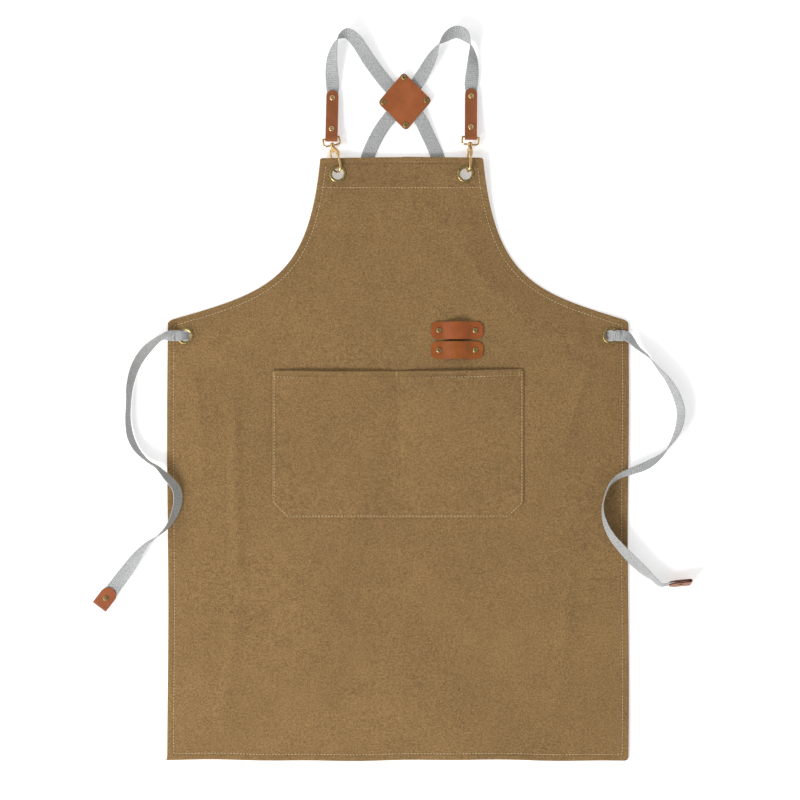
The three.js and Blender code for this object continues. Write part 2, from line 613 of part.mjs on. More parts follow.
for (const side of SIDES) {
  const eyelet = eyelets.find(({ name }) => name === `bib_eyelet_${side.name}`);
  const hole = new THREE.Vector3(eyelet.x, eyelet.y, 0);
  const reach = BORE_R - WIRE_R - GAP - side.slack;
  const bow = rad(side.bowAngle);
  const lean = rad(side.lean);
  side.bar = new THREE.Vector3(
    hole.x + reach * Math.cos(bow) - HOOK_REACH * Math.sin(lean),
    hole.y + reach * Math.sin(bow) + HOOK_REACH * Math.cos(lean),
    HOOK_HEIGHT,
  );
  const leaning = new THREE.Group();
  leaning.position.copy(side.bar);
  leaning.rotation.z = lean;
  apron.add(leaning);
  piece(leaning, `strap_loop_${side.name}`, "brass", strapLoop());

  const swivel = new THREE.Group();
  swivel.rotation.y = -rad(side.turn);
  leaning.add(swivel);
  piece(swivel, `hook_body_${side.name}`, "brass", hookBody());
  const atPivot = { gate: gate(), gate_pin: gatePin(), gate_spring: gateSpring() };
  for (const [name, geometry] of Object.entries(atPivot)) {
    piece(swivel, `${name}_${side.name}`, "brass", geometry).position.set(PIVOT.x, PIVOT.y, 0);
  }

  // The tab folds round the bar and slopes down to its open end.
  const eyeRadius = LOOP_WIRE / 2 + GAP;
  const play = (TAB_WIDTH / 2) * Math.tan(Math.abs(lean)) + 0.1;
  const barToOpenEnd = TAB_LENGTH - eyeRadius - LEATHER - play;
  side.tab = new THREE.Group();
  side.tab.position.set(side.bar.x + side.tabOffset, side.bar.y, HOOK_HEIGHT);
  const slope = Math.asin((HOOK_HEIGHT - TAB_OPEN_END_Z) / barToOpenEnd);
  side.tab.rotation.set(-slope, 0, rad(side.tabLean), "ZXY");
  const laid = new THREE.Group();
  laid.position.y = barToOpenEnd;
  laid.rotation.z = Math.PI;
  side.tab.add(laid);
  apron.add(side.tab);
  const leather = foldedLeather(TAB_LENGTH, TAB_WIDTH, eyeRadius, play, TAB_RIVETS);
  piece(laid, `strap_tab_${side.name}`, "leather", leather);
  ["top", "bottom"].forEach((name, i) => {
    const rivet = rivetSolid(-SLOT / 2 - LEATHER, SLOT / 2 + LEATHER);
    piece(laid, `strap_tab_${side.name}_rivet_${name}`, "brass", rivet).position.y = TAB_RIVETS[i];
  });
  side.laid = laid;
}
apron.updateMatrixWorld(true);

// ---- Shoulder straps: tab, loop, crossing, then behind the cloth and up through the far waist eyelet ----
const FLOOR_Z = WEBBING / 2 + UNDER_STRAP;
const RIM_Z = FACE + GAP + EYELET_HEIGHT + GAP + WEBBING / 2;

// Stops given from a place along and across the cloth: [x, y, z, roll, width].
function from(place, stops) {
  return stops.map(([x, y, z, roll, width = WEBBING_WIDTH]) => [place.x + x, place.y + y, z, roll, width]);
}

function tabEnd(side, inward = 0) {
  return new THREE.Vector3(0, inward, 0).applyMatrix4(side.laid.matrixWorld);
}

// The first stops: pressed a little narrower inside the tab.
function inTab(side) {
  const stops = [
    [TAB_LENGTH - 14, WEBBING_WIDTH - 2.6],
    [TAB_LENGTH / 2, WEBBING_WIDTH - 2.6],
    [2, WEBBING_WIDTH - 2.4],
    [-7, WEBBING_WIDTH],
  ];
  return stops.map(([inward, width]) => [...tabEnd(side, inward).toArray(), 0, width]);
}

function waistEyelet(sign) {
  return eyelets.find(({ onBib, x }) => !onBib && Math.sign(x) === sign);
}

// The last stops: under the cloth to the eyelet, up through it and out over its rim.
const TIE_START_ROLL = 12; // degrees the webbing has turned by the eyelet's outer edge

function throughEyelet(sign, roll) {
  const eyelet = waistEyelet(sign);
  const stop = (outward, z, width, turn = 0) => [eyelet.x + sign * outward, eyelet.y, z, roll + turn, width];
  return [
    stop(-24, FLOOR_Z, WEBBING_WIDTH),
    stop(-13, FLOOR_Z, 14),
    stop(-6.8, FLOOR_Z, 12),
    stop(-4, 1.8, 11),
    stop(-0.8, 4.4, 11),
    stop(3.6, RIM_Z - 0.5, 13),
    stop(9, RIM_Z + 0.2, WEBBING_WIDTH),
    stop(14, RIM_Z + 0.3, WEBBING_WIDTH, TIE_START_ROLL),
  ];
}

const BELOW_PATCH = new THREE.Vector2(PATCH_CENTRE.x, WAIST_HEIGHT); // at the waist, between the armholes
const [LEFT, RIGHT] = SIDES;
const STRAP_STOPS = {
  left: [
    ...inTab(LEFT),
    ...from(tabEnd(LEFT), [
      [-1.3, 29.3, 7.5, 20],
      [-0.2, 49.3, 11.5, 42],
      [5.3, 70.3, 14, 72],
      [10.8, 78.8, 14.5, 98],
    ]),
    ...from(PATCH_CENTRE, [
      [-85.3, 99.5, 13.5, 132],
      [-72.3, 89.5, 10.5, 154],
      [-52.3, 59.5, 7.5, 168],
      [-25.3, 24.5, UPPER_STRAP_Z, 180],
      [-0.3, -0.5, UPPER_STRAP_Z, 180],
      [20.7, -23.5, UPPER_STRAP_Z, 180],
      [34.7, -50.5, UPPER_STRAP_Z - 2.3, 180],
      [46.7, -76.5, 1.4, 180],
      [55.7, -100.5, FLOOR_Z, 180],
    ]),
    ...from(BELOW_PATCH, [
      [71.7, 176, FLOOR_Z, 180],
      [93.7, 116, FLOOR_Z, 180],
      [129.7, 51, FLOOR_Z, 180],
    ]),
    ...from(waistEyelet(1), [
      [-117, 20, FLOOR_Z, 180],
      [-59, 1, FLOOR_Z, 180],
    ]),
    ...throughEyelet(1, 180),
  ],
  right: [
    ...inTab(RIGHT),
    ...from(tabEnd(RIGHT), [
      [1.8, 26.6, 8, -20],
      [1.7, 46.6, 12, -48],
      [-1.8, 65.6, 14.5, -88],
      [-11.8, 79.6, 13, -140],
    ]),
    ...from(PATCH_CENTRE, [
      [75.7, 102, 12.5, -146],
      [62.7, 95.5, 13.5, -126],
      [52.2, 85.5, 14, -90],
      [40.7, 65.5, 9.5, -40],
      [24.7, 37.5, LOWER_STRAP_Z + 1.6, -12],
      [9.7, 14.5, LOWER_STRAP_Z, 0],
      [-5.3, -4.5, LOWER_STRAP_Z, 0],
      [-22.3, -23.5, LOWER_STRAP_Z, 0],
      [-38.3, -45.5, LOWER_STRAP_Z - 1.3, 0],
      [-53.3, -76.5, 1.2, 0],
      [-60.3, -100.5, FLOOR_Z, 0],
    ]),
    ...from(BELOW_PATCH, [
      [-78.3, 176, FLOOR_Z, 0],
      [-104.3, 116, FLOOR_Z, 0],
      [-144.3, 51, FLOOR_Z, 0],
    ]),
    ...from(waistEyelet(-1), [
      [119, 20, FLOOR_Z, 0],
      [59, 1, FLOOR_Z, 0],
    ]),
    ...throughEyelet(-1, 0),
  ],
};

for (const side of SIDES) {
  let strap = solid(webbingAlong(STRAP_STOPS[side.name], 4));
  for (const y of TAB_RIVETS) {
    const bore = solid(drum(RIVET_BORE, -3, 3, 12), side.laid.matrixWorld.clone().multiply(at(0, y, 0)));
    strap = strap.subtract(bore);
  }
  piece(apron, `shoulder_strap_${side.name}`, "webbing", geometryOf(strap));
}

// ---- Waist ties: the same webbing running on, free from the eyelet's rim to the leather tip ----
const TIE_STOPS = {
  left: from(waistEyelet(-1), [
    [-14.8, 0, RIM_Z + 0.35, TIE_START_ROLL],
    [-19.5, 0, RIM_Z + 1, 20],
    [-24, 0.2, 11.6, 44],
    [-35, -3.4, 13.6, 70],
    [-55.5, -19.6, 10.5, 54],
    [-72, -43.4, 10, 56],
    [-81, -73.2, 10.6, 66],
    [-83, -98.6, 10.8, 76],
    [-83.8, -127, 10.8, 74],
    [-80, -150.7, 10.6, 68],
    [-70.4, -170, 10.8, 74],
    [-54, -186.5, 12.4, 86],
    [-40.6, -194.7, 14.4, 82],
    [-25.7, -210.3, 14.2, 66],
    [-12.3, -226.7, 13.4, 58],
    [-9.3, -243.1, 13.2, 56],
    [-12.3, -258, 13.6, 60],
    [-18.3, -273, 14.4, 70],
    [-27.2, -286.3, 14.7, 80],
    [-42, -299.7, 12.4, 92],
    [-55.5, -309.4, 10.9, 106],
    [-71, -328, 9.2, 136],
    [-86, -349, 6.4, 162],
  ]),
  right: from(waistEyelet(1), [
    [14.8, 0, RIM_Z + 0.35, TIE_START_ROLL],
    [19.5, -0.2, RIM_Z + 1, 18],
    [27.5, -5.5, 12.8, 46],
    [40, -19, 12.6, 70],
    [54, -30, 11.4, 80],
    [68.9, -47.9, 11, 93],
    [83.8, -65.8, 10.8, 106],
    [97.2, -90.4, 10.4, 118],
    [103.2, -113.5, 10.2, 119],
    [100.2, -135.8, 10.4, 113],
    [91.3, -155.4, 10.8, 98],
    [75.5, -176.5, 10.8, 72],
    [54, -191.5, 12, 50],
    [30, -201, 13.6, 56],
    [11, -208.8, 14.2, 66],
    [-2.6, -221, 14.4, 76],
    [-10.8, -240, 14.6, 83],
    [-13.5, -257.8, 14.6, 90],
    [-9.3, -279, 14.5, 104],
    [0.4, -298.2, 14.1, 116],
    [14.7, -315.7, 13.6, 126],
    [32, -334, 12.8, 133],
    [49, -349.8, 10.6, 128],
    [62, -360.6, 11.8, 110],
  ]),
};

// Where each tie runs straight into its tip, from its eyelet: the mouth's middle, the heading and the roll.
const TIE_MOUTHS = {
  left: { from: waistEyelet(-1), mouth: [-107, -376.6, 4.6], heading: 232.5, roll: 180 },
  right: { from: waistEyelet(1), mouth: [85, -368.8, 12.75], heading: 5.5, roll: 107 },
};
const TIE_IN_TIP = TIP_LENGTH - LEATHER - SLOT / 2 - 1; // how far the webbing runs into its tip

function straightEnd({ from: eyelet, mouth: [x, y, z], heading, roll }) {
  const [dx, dy] = [Math.cos(rad(heading)), Math.sin(rad(heading))];
  return from(eyelet, [-12, -2, 8, TIE_IN_TIP].map((run) => [x + run * dx, y + run * dy, z, roll]));
}

// The tip's frame: +Y runs along the tie, X across the webbing and Z out of its face.
function tipFrame({ from: eyelet, mouth: [x, y, z], heading, roll }) {
  const along = new THREE.Vector3(Math.cos(rad(heading)), Math.sin(rad(heading)), 0);
  const up = new THREE.Vector3(0, 0, 1);
  const right = new THREE.Vector3().crossVectors(along, up);
  const across = right.multiplyScalar(Math.cos(rad(roll))).addScaledVector(up, Math.sin(rad(roll)));
  const face = new THREE.Vector3().crossVectors(across, along);
  const frame = new THREE.Group();
  const matrix = new THREE.Matrix4().makeBasis(across, along, face).setPosition(
    eyelet.x + x, eyelet.y + y, z,
  );
  matrix.decompose(frame.position, frame.quaternion, frame.scale);
  return frame;
}

for (const side of SIDES) {
  const end = TIE_MOUTHS[side.name];
  const stops = [...TIE_STOPS[side.name], ...straightEnd(end)];
  const tip = tipFrame(end);
  apron.add(tip);
  apron.updateMatrixWorld(true);
  const leather = foldedLeather(TIP_LENGTH, TIP_WIDTH, SLOT / 2, 0, [TIP_RIVET]);
  piece(tip, `tie_tip_${side.name}`, "leather", leather);
  const rivet = rivetSolid(-SLOT / 2 - LEATHER, SLOT / 2 + LEATHER);
  piece(tip, `tie_tip_${side.name}_rivet`, "antique", rivet).position.y = TIP_RIVET;
  const bore = solid(drum(RIVET_BORE, -3, 3, 12), tip.matrixWorld.clone().multiply(at(0, TIP_RIVET, 0)));
  const webbing = solid(webbingAlong(stops, 3)).subtract(bore);
  piece(apron, `waist_tie_${side.name}`, "webbing", geometryOf(webbing));
}

// ---- The origin: under the middle of the laid-out apron ----
apron.position.y = -OBJECT_LENGTH / 2;
const part = new THREE.Group();
part.add(apron);

export default part;
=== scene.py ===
# A cross-back canvas apron laid flat: draped cloth, webbing straps and ties, leather and brass.
import math

import bpy
import numpy as np
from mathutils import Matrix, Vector
from mathutils.geometry import delaunay_2d_cdt


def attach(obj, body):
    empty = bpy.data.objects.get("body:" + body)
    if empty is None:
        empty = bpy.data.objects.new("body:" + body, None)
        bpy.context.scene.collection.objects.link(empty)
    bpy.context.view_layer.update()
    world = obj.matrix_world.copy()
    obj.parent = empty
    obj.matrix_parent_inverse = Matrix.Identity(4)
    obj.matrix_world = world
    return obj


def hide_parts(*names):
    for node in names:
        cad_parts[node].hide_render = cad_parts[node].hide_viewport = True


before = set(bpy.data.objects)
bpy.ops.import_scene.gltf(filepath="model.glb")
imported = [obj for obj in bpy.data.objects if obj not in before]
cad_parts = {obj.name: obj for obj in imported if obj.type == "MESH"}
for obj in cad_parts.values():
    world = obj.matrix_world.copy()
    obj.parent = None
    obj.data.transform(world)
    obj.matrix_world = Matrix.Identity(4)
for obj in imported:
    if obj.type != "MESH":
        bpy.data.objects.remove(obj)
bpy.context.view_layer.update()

bl_info = {
    "name": "Cross-back apron",
    "version": (1, 0, 0),
    "blender": (4, 5, 0),
    "location": "3D View > Sidebar > Apron",
    "description": "Builds the cloth, webbing, leather and brass of a cross-back canvas apron",
    "category": "Object",
}

MM = 0.001
MERGE = 0.000002  # m between points that count as one
HALF_LENGTH = 545.5  # mm from the hem to the row's origin
SIDES = ("left", "right")


# ---- Settings ----
def colour(name, description, value):
    return bpy.props.FloatVectorProperty(
        name=name, description=description, subtype="COLOR", size=3, min=0, max=1, default=value)


def length(name, description, value):
    return bpy.props.FloatProperty(
        name=name, description=description, default=value, min=0, unit="LENGTH", subtype="DISTANCE")


class ApronFinishes(bpy.types.PropertyGroup):
    """Colours of the apron's materials."""
    canvas: colour("Canvas", "Khaki-brown cotton canvas", (0.272, 0.165, 0.068))
    thread: colour("Thread", "Stitching thread on the canvas", (0.76, 0.59, 0.36))
    webbing: colour("Webbing", "Light yarn of the webbing", (0.66, 0.675, 0.67))
    webbing_dark: colour("Webbing, dark yarn", "Dark yarn of the webbing", (0.20, 0.205, 0.20))
    leather: colour("Leather", "Smooth face of the leather", (0.338, 0.099, 0.030))
    brass: colour("Brass", "Polished hooks and tab rivets", (0.76, 0.52, 0.25))
    antique: colour("Antique brass", "Eyelets and patch rivets", (0.36, 0.27, 0.115))
    floor: colour("Floor", "Plain pale floor", (0.99, 0.99, 0.99))


class ApronSizes(bpy.types.PropertyGroup):
    """Sizes of the apron's soft pieces."""
    canvas: length("Canvas thickness", "One layer of canvas", 0.001)
    cell: length("Cloth cell", "Distance between points of the cloth meshes", 0.0055)
    swell: length("Cloth swell", "Height of the cloth's slow waves", 0.0014)
    stitch: length("Stitch", "Length of one stitch", 0.0031)
    stitch_gap: length("Stitch gap", "Gap between stitches", 0.0017)
    thread: length("Thread", "Thickness of the stitching thread", 0.00095)
    webbing: length("Webbing width", "Width of straps and ties", 0.020)
    webbing_thickness: length("Webbing thickness", "Thickness of straps and ties", 0.0015)


def finishes():
    return bpy.context.scene.apron_finishes


def sizes():
    return bpy.context.scene.apron_sizes


# ---- Shader arithmetic ----
class Socket:
    """An output of a shader node that can be used in an expression."""

    def __init__(self, finish, output):
        self.finish = finish
        self.output = output

    def _math(self, operation, *values):
        return self.finish.node("ShaderNodeMath", {"operation": operation}, dict(enumerate(values)))

    def __add__(self, other):
        return self._math("ADD", self, other)

    def __mul__(self, other):
        return self._math("MULTIPLY", self, other)

    def sine(self):
        return self._math("SINE", self)

    def spread(self, low, high, to_low=0.0, to_high=1.0):
        values = {0: self, 1: low, 2: high, 3: to_low, 4: to_high}
        return self.finish.node("ShaderNodeMapRange", {"clamp": True}, values)


class Finish:
    """A node material."""

    def __init__(self, name):
        self.material = bpy.data.materials.new(name)
        self.material.use_nodes = True
        self.tree = self.material.node_tree
        self.tree.nodes.clear()

    def node(self, kind, settings=None, values=None, out=0):
        made = self.tree.nodes.new(kind)
        for key, value in (settings or {}).items():
            setattr(made, key, value)
        for key, value in (values or {}).items():
            if isinstance(value, Socket):
                self.tree.links.new(value.output, made.inputs[key])
            else:
                made.inputs[key].default_value = value
        return Socket(self, made.outputs[out])

    def place(self):
        return self.node("ShaderNodeTexCoord", out="Object")

    def surface_place(self):
        return self.node("ShaderNodeUVMap", {"uv_map": "surface"})

    def axes(self, vector):
        return [self.node("ShaderNodeSeparateXYZ", {}, {0: vector}, out=i) for i in range(3)]

    def scaled(self, vector, by):
        settings = {"operation": "MULTIPLY"}
        return self.node("ShaderNodeVectorMath", settings, {0: vector, 1: by})

    def noise(self, vector, scale, detail=2.0, roughness=0.5):
        values = {"Vector": vector, "Scale": scale, "Detail": detail, "Roughness": roughness}
        return self.node("ShaderNodeTexNoise", {}, values)

    def stretched(self, vector, by, detail, roughness=0.5):
        """Noise with its own scale along each axis."""
        return self.noise(self.scaled(vector, by), 1.0, detail, roughness)

    def mix(self, factor, first, second):
        return self.node("ShaderNodeMix", {"data_type": "RGBA"}, {0: factor, 6: first, 7: second}, out=2)

    def attribute(self, name):
        return self.node("ShaderNodeAttribute", {"attribute_name": name}, out="Fac")

    def bump(self, height, distance, strength):
        values = {"Strength": strength, "Distance": distance, "Height": height}
        return self.node("ShaderNodeBump", {}, values)

    def end(self, **values):
        surface = {key.replace("_", " "): value for key, value in values.items()}
        shader = self.node("ShaderNodeBsdfPrincipled", {}, surface)
        output = self.tree.nodes.new("ShaderNodeOutputMaterial")
        self.tree.links.new(shader.output, output.inputs["Surface"])
        return self.material


def rgb(value, gain=1.0):
    return (value[0] * gain, value[1] * gain, value[2] * gain, 1.0)


def once(name, make):
    """The apron's material of that name, made the first time it is asked for."""
    own = f"apron_{name}"
    return bpy.data.materials.get(own) or make(own)


# ---- Materials ----
CANVAS_THREAD = 0.00095  # m from one thread of the canvas to the next
WEBBING_RIB = 0.00167  # m from rib to rib across the webbing
WEBBING_PICK = 0.0027  # m from pick to pick along it


def canvas_finish(name):
    f = Finish(name)
    base = finishes().canvas
    place = f.place()
    x, y, _ = f.axes(place)
    thread_turns = 2 * math.pi / CANVAS_THREAD
    slub_x = f.stretched(place, (90, 1500, 90), 3.0)
    slub_y = f.stretched(place, (1500, 90, 90), 3.0)
    patches = f.noise(place, 7.0, 4.0, 0.6)
    fade = f.noise(place, 45.0, 3.0, 0.6)
    grain = f.stretched(place, (640, 760, 640), 3.0, 0.8)
    mottle = f.stretched(place, (270, 350, 270), 3.0, 0.75)
    weave = (x * thread_turns).sine() * (y * thread_turns).sine()
    yarn = slub_x.spread(0.3, 0.7) * 0.5 + slub_y.spread(0.3, 0.7) * 0.5
    tone = yarn * 0.14 + grain.spread(0.38, 0.62) * 0.46 + mottle.spread(0.38, 0.62) * 0.24
    tone = tone + fade.spread(0.25, 0.75) * 0.08 + patches.spread(0.3, 0.7) * 0.12
    colour_now = f.mix(tone, rgb(base, 0.25), rgb(base, 1.68))
    colour_now = f.mix(f.attribute("rim") * 0.3, colour_now, rgb(base, 1.5))
    # painted shade: darker in the sunken stitch lines and the pocket's middle groove
    colour_now = f.mix(f.attribute("painted_seam_shade") * 0.6, colour_now, rgb(base, 0.42))
    height = weave * 0.3 + yarn * 0.4 + grain * 0.5
    return f.end(Base_Color=colour_now, Roughness=0.93, Normal=f.bump(height, 0.00035, 0.7),
                 Sheen_Weight=0.04, Sheen_Roughness=0.5, Specular_IOR_Level=0.15)


def thread_finish(name):
    f = Finish(name)
    base = [1.5 * c for c in finishes().canvas] if "dull" in name else finishes().thread
    turns = f.noise(f.place(), 900.0, 2.0)
    worn = f.noise(f.place(), 60.0, 3.0, 0.7)
    colour_now = f.mix(turns.spread(0.35, 0.65), rgb(base, 0.8), rgb(base, 1.2))
    colour_now = f.mix(worn.spread(0.5, 0.62) * 0.45, colour_now, rgb(finishes().canvas, 1.2))
    return f.end(Base_Color=colour_now, Roughness=0.7, Normal=f.bump(turns, 0.0002, 0.6),
                 Specular_IOR_Level=0.3)


def webbing_finish(name):
    f = Finish(name)
    light, dark = finishes().webbing, finishes().webbing_dark
    surface = f.surface_place()
    across, along, _ = f.axes(surface)
    rib = (across * (2 * math.pi / WEBBING_RIB)).sine()
    pick = (along * (2 * math.pi / WEBBING_PICK) + rib * 1.1).sine()
    heather = f.stretched(surface, (1400, 260, 1), 3.0, 0.7)
    fibre = f.noise(f.place(), 2600.0, 2.0, 0.6)
    flow = f.noise(surface, 60.0, 3.0)
    knots = f.stretched(surface, (620, 420, 1), 2.0, 0.8)
    mask = heather.spread(0.42, 0.62) * 0.3 + pick.spread(0.1, -1.0) * 0.42
    mask = mask + fibre.spread(0.5, 0.7) * 0.15 + knots.spread(0.46, 0.66) * 0.4
    mask = mask + flow.spread(0.3, 0.7) * 0.08
    colour_now = f.mix(mask, rgb(light), rgb(dark))
    height = pick * 0.5 + rib * 0.3 + fibre * 0.35
    return f.end(Base_Color=colour_now, Roughness=0.86, Normal=f.bump(height, 0.00045, 0.8),
                 Sheen_Weight=0.05, Specular_IOR_Level=0.2)


PLAIN = (1.0, 1.0, 1.0)  # leather without a tint


def leather_finish(name, tint):
    f = Finish(name)
    base = [c * t for c, t in zip(finishes().leather, tint)]
    place = f.place()
    clouds = f.noise(place, 38.0, 5.0, 0.62)
    cells = {"Vector": place, "Scale": 1050.0}
    pores = f.node("ShaderNodeTexVoronoi", {"feature": "DISTANCE_TO_EDGE"}, cells)
    grain = f.noise(place, 1500.0, 3.0, 0.6)
    scuffs = f.stretched(place, (60, 420, 120), 4.0, 0.7)
    cut = f.attribute("cut")
    colour_now = f.mix(clouds.spread(0.3, 0.7), rgb(base, 0.82), rgb(base, 1.22))
    colour_now = f.mix(scuffs.spread(0.6, 0.8) * 0.3, colour_now, rgb(base, 1.7))
    colour_now = f.mix(cut * 0.8, colour_now, rgb(base, 0.33))
    height = pores.spread(0.0, 0.12) * 0.6 + grain * 0.4
    rough = clouds.spread(0.3, 0.7, 0.36, 0.5) + cut * 0.25
    return f.end(Base_Color=colour_now, Roughness=rough, Normal=f.bump(height, 0.00016, 0.5),
                 Specular_IOR_Level=0.3)


def metal(f, base, film, edge_of_film, film_tone, rough, height, depth, strength):
    """Metal under a patchy film, which darkens it and dulls it."""
    colour_now = f.mix(film.spread(*edge_of_film), rgb(base, film_tone[0]), rgb(base, film_tone[1]))
    return f.end(Base_Color=colour_now, Metallic=1.0, Roughness=film.spread(0.3, 0.7, *rough),
                 Normal=f.bump(height, depth, strength))


def brass_finish(name):
    f = Finish(name)
    film = f.noise(f.place(), 160.0, 4.0, 0.6)
    lines = f.stretched(f.place(), (300, 4000, 300), 2.0)
    return metal(f, finishes().brass, film, (0.35, 0.7), (1.0, 0.8), (0.2, 0.32), lines, 0.00004, 0.3)


def antique_finish(name):
    f = Finish(name)
    film = f.noise(f.place(), 420.0, 5.0, 0.65)
    return metal(f, finishes().antique, film, (0.42, 0.62), (1.25, 0.42), (0.3, 0.5), film, 0.00008, 0.4)


def floor_finish(name):
    f = Finish(name)
    mottle = f.noise(f.place(), 30.0, 3.0)
    base = finishes().floor
    colour_now = f.mix(mottle.spread(0.3, 0.7), rgb(base, 0.985), rgb(base))
    # The floor glows evenly: painted light that lifts the shadows and lights the eyelet bores.
    return f.end(Base_Color=colour_now, Roughness=0.6, Specular_IOR_Level=0.2,
                 Emission_Color=(1.0, 1.0, 1.0, 1.0), Emission_Strength=0.34)


FINISHES = {"canvas": canvas_finish, "webbing": webbing_finish, "brass": brass_finish,
            "antique_brass": antique_finish}


# ---- Mesh helpers ----
def linked(name, data):
    made = bpy.data.objects.new(name, data)
    bpy.context.collection.objects.link(made)
    return made


def smooth_mesh(name, points, faces):
    mesh = bpy.data.meshes.new(name)
    mesh.from_pydata(in_frame(points).tolist(), [], faces)
    mesh.shade_smooth()
    return mesh


def settled(piece, slot, *replaced, body="apron", material=None):
    """The piece with its material, on its body, in place of the CAD nodes it replaces."""
    piece.data.materials.clear()
    piece.data.materials.append(material or once(slot, FINISHES[slot]))
    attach(piece, body)
    if replaced:
        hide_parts(*replaced)
    return piece


def only(piece):
    """Nothing but this piece selected and active."""
    bpy.ops.object.select_all(action="DESELECT")
    piece.select_set(True)
    bpy.context.view_layer.objects.active = piece


def applied(piece, kind, **settings):
    only(piece)
    modifier = piece.modifiers.new(kind.lower(), kind)
    for key, value in settings.items():
        setattr(modifier, key, value)
    bpy.ops.object.modifier_apply(modifier=modifier.name)


def copy_of(node, name):
    """A merged copy of a CAD node's mesh, to be finished further."""
    piece = linked(name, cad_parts[node].data.copy())
    edited(piece, lambda: bpy.ops.mesh.remove_doubles(threshold=MERGE))
    return piece


def edited(piece, step):
    """One edit-mode step on the whole of a piece."""
    only(piece)
    bpy.ops.object.mode_set(mode="EDIT")
    bpy.ops.mesh.select_all(action="SELECT")
    step()
    bpy.ops.object.mode_set(mode="OBJECT")


def smoothed(piece, degrees):
    only(piece)
    bpy.ops.object.shade_smooth_by_angle(angle=math.radians(degrees))


def float_attribute(mesh, name, values, domain="POINT"):
    layer = mesh.attributes.new(name, "FLOAT", domain)
    layer.data.foreach_set("value", np.asarray(values, dtype=np.float32))


def in_frame(points):
    """Places in mm from the hem's middle as metres in the shared frame."""
    places = np.array(points) * MM
    places[:, 1] -= HALF_LENGTH * MM
    return places


def away_from(points, centre):
    return np.hypot(points[:, 0] - centre[0], points[:, 1] - centre[1])


def to_segments(points, starts, ends):
    """Distance from each point to the nearest of the segments, in blocks."""
    best = np.full(len(points), np.inf)
    for a, b in zip(starts, ends):
        along = b - a
        span = max(float(along @ along), 1e-12)
        t = np.clip(((points - a) @ along) / span, 0, 1)
        gap = points - (a + t[:, None] * along)
        best = np.minimum(best, np.hypot(gap[:, 0], gap[:, 1]))
    return best


def inside(points, loop):
    """Which points lie inside a closed loop."""
    count = np.zeros(len(points), dtype=int)
    for a, b in zip(loop, np.roll(loop, -1, axis=0)):
        crosses = (a[1] > points[:, 1]) != (b[1] > points[:, 1])
        if a[1] != b[1]:
            x = a[0] + (points[:, 1] - a[1]) * (b[0] - a[0]) / (b[1] - a[1])
            count += crosses & (points[:, 0] < x)
    return count % 2 == 1


def run_along(line):
    """The distance run from the line's start to each of its points."""
    return np.concatenate([[0], np.cumsum(np.hypot(*np.diff(line, axis=0).T))])


def at_runs(line, run, where):
    return np.stack([np.interp(where, run, line[:, k]) for k in (0, 1)], axis=1)


def resampled(points, step, closed=True):
    """The same line with points an even distance apart."""
    line = np.asarray(points, dtype=float)
    if closed:
        line = np.vstack([line, line[:1]])
    run = run_along(line)
    where = np.linspace(0, run[-1], max(3, int(round(run[-1] / step))) + 1)
    return at_runs(line, run, where[:-1] if closed else where)


def offset_loop(loop, inward):
    """An anticlockwise loop moved inwards."""
    ahead = np.roll(loop, -1, axis=0) - np.roll(loop, 1, axis=0)
    ahead /= np.hypot(ahead[:, 0], ahead[:, 1])[:, None]
    return loop + inward * np.stack([-ahead[:, 1], ahead[:, 0]], axis=1)


def ring_of(centre, radius):
    angles = np.arange(RING_POINTS) * 2 * math.pi / RING_POINTS
    return np.stack([centre[0] + radius * np.cos(angles), centre[1] + radius * np.sin(angles)], axis=1)


# ---- Cloth ----
EDGE_STEP = 3.6  # mm between points along a cloth's edge
EDGE_ROUND = 0.7  # how far in a cut edge is rounded
RING_POINTS = 36
HOLE_RINGS = (1.5, 4.0)  # rings of points round a hole, out from its edge
HOLE_CLEAR = 7


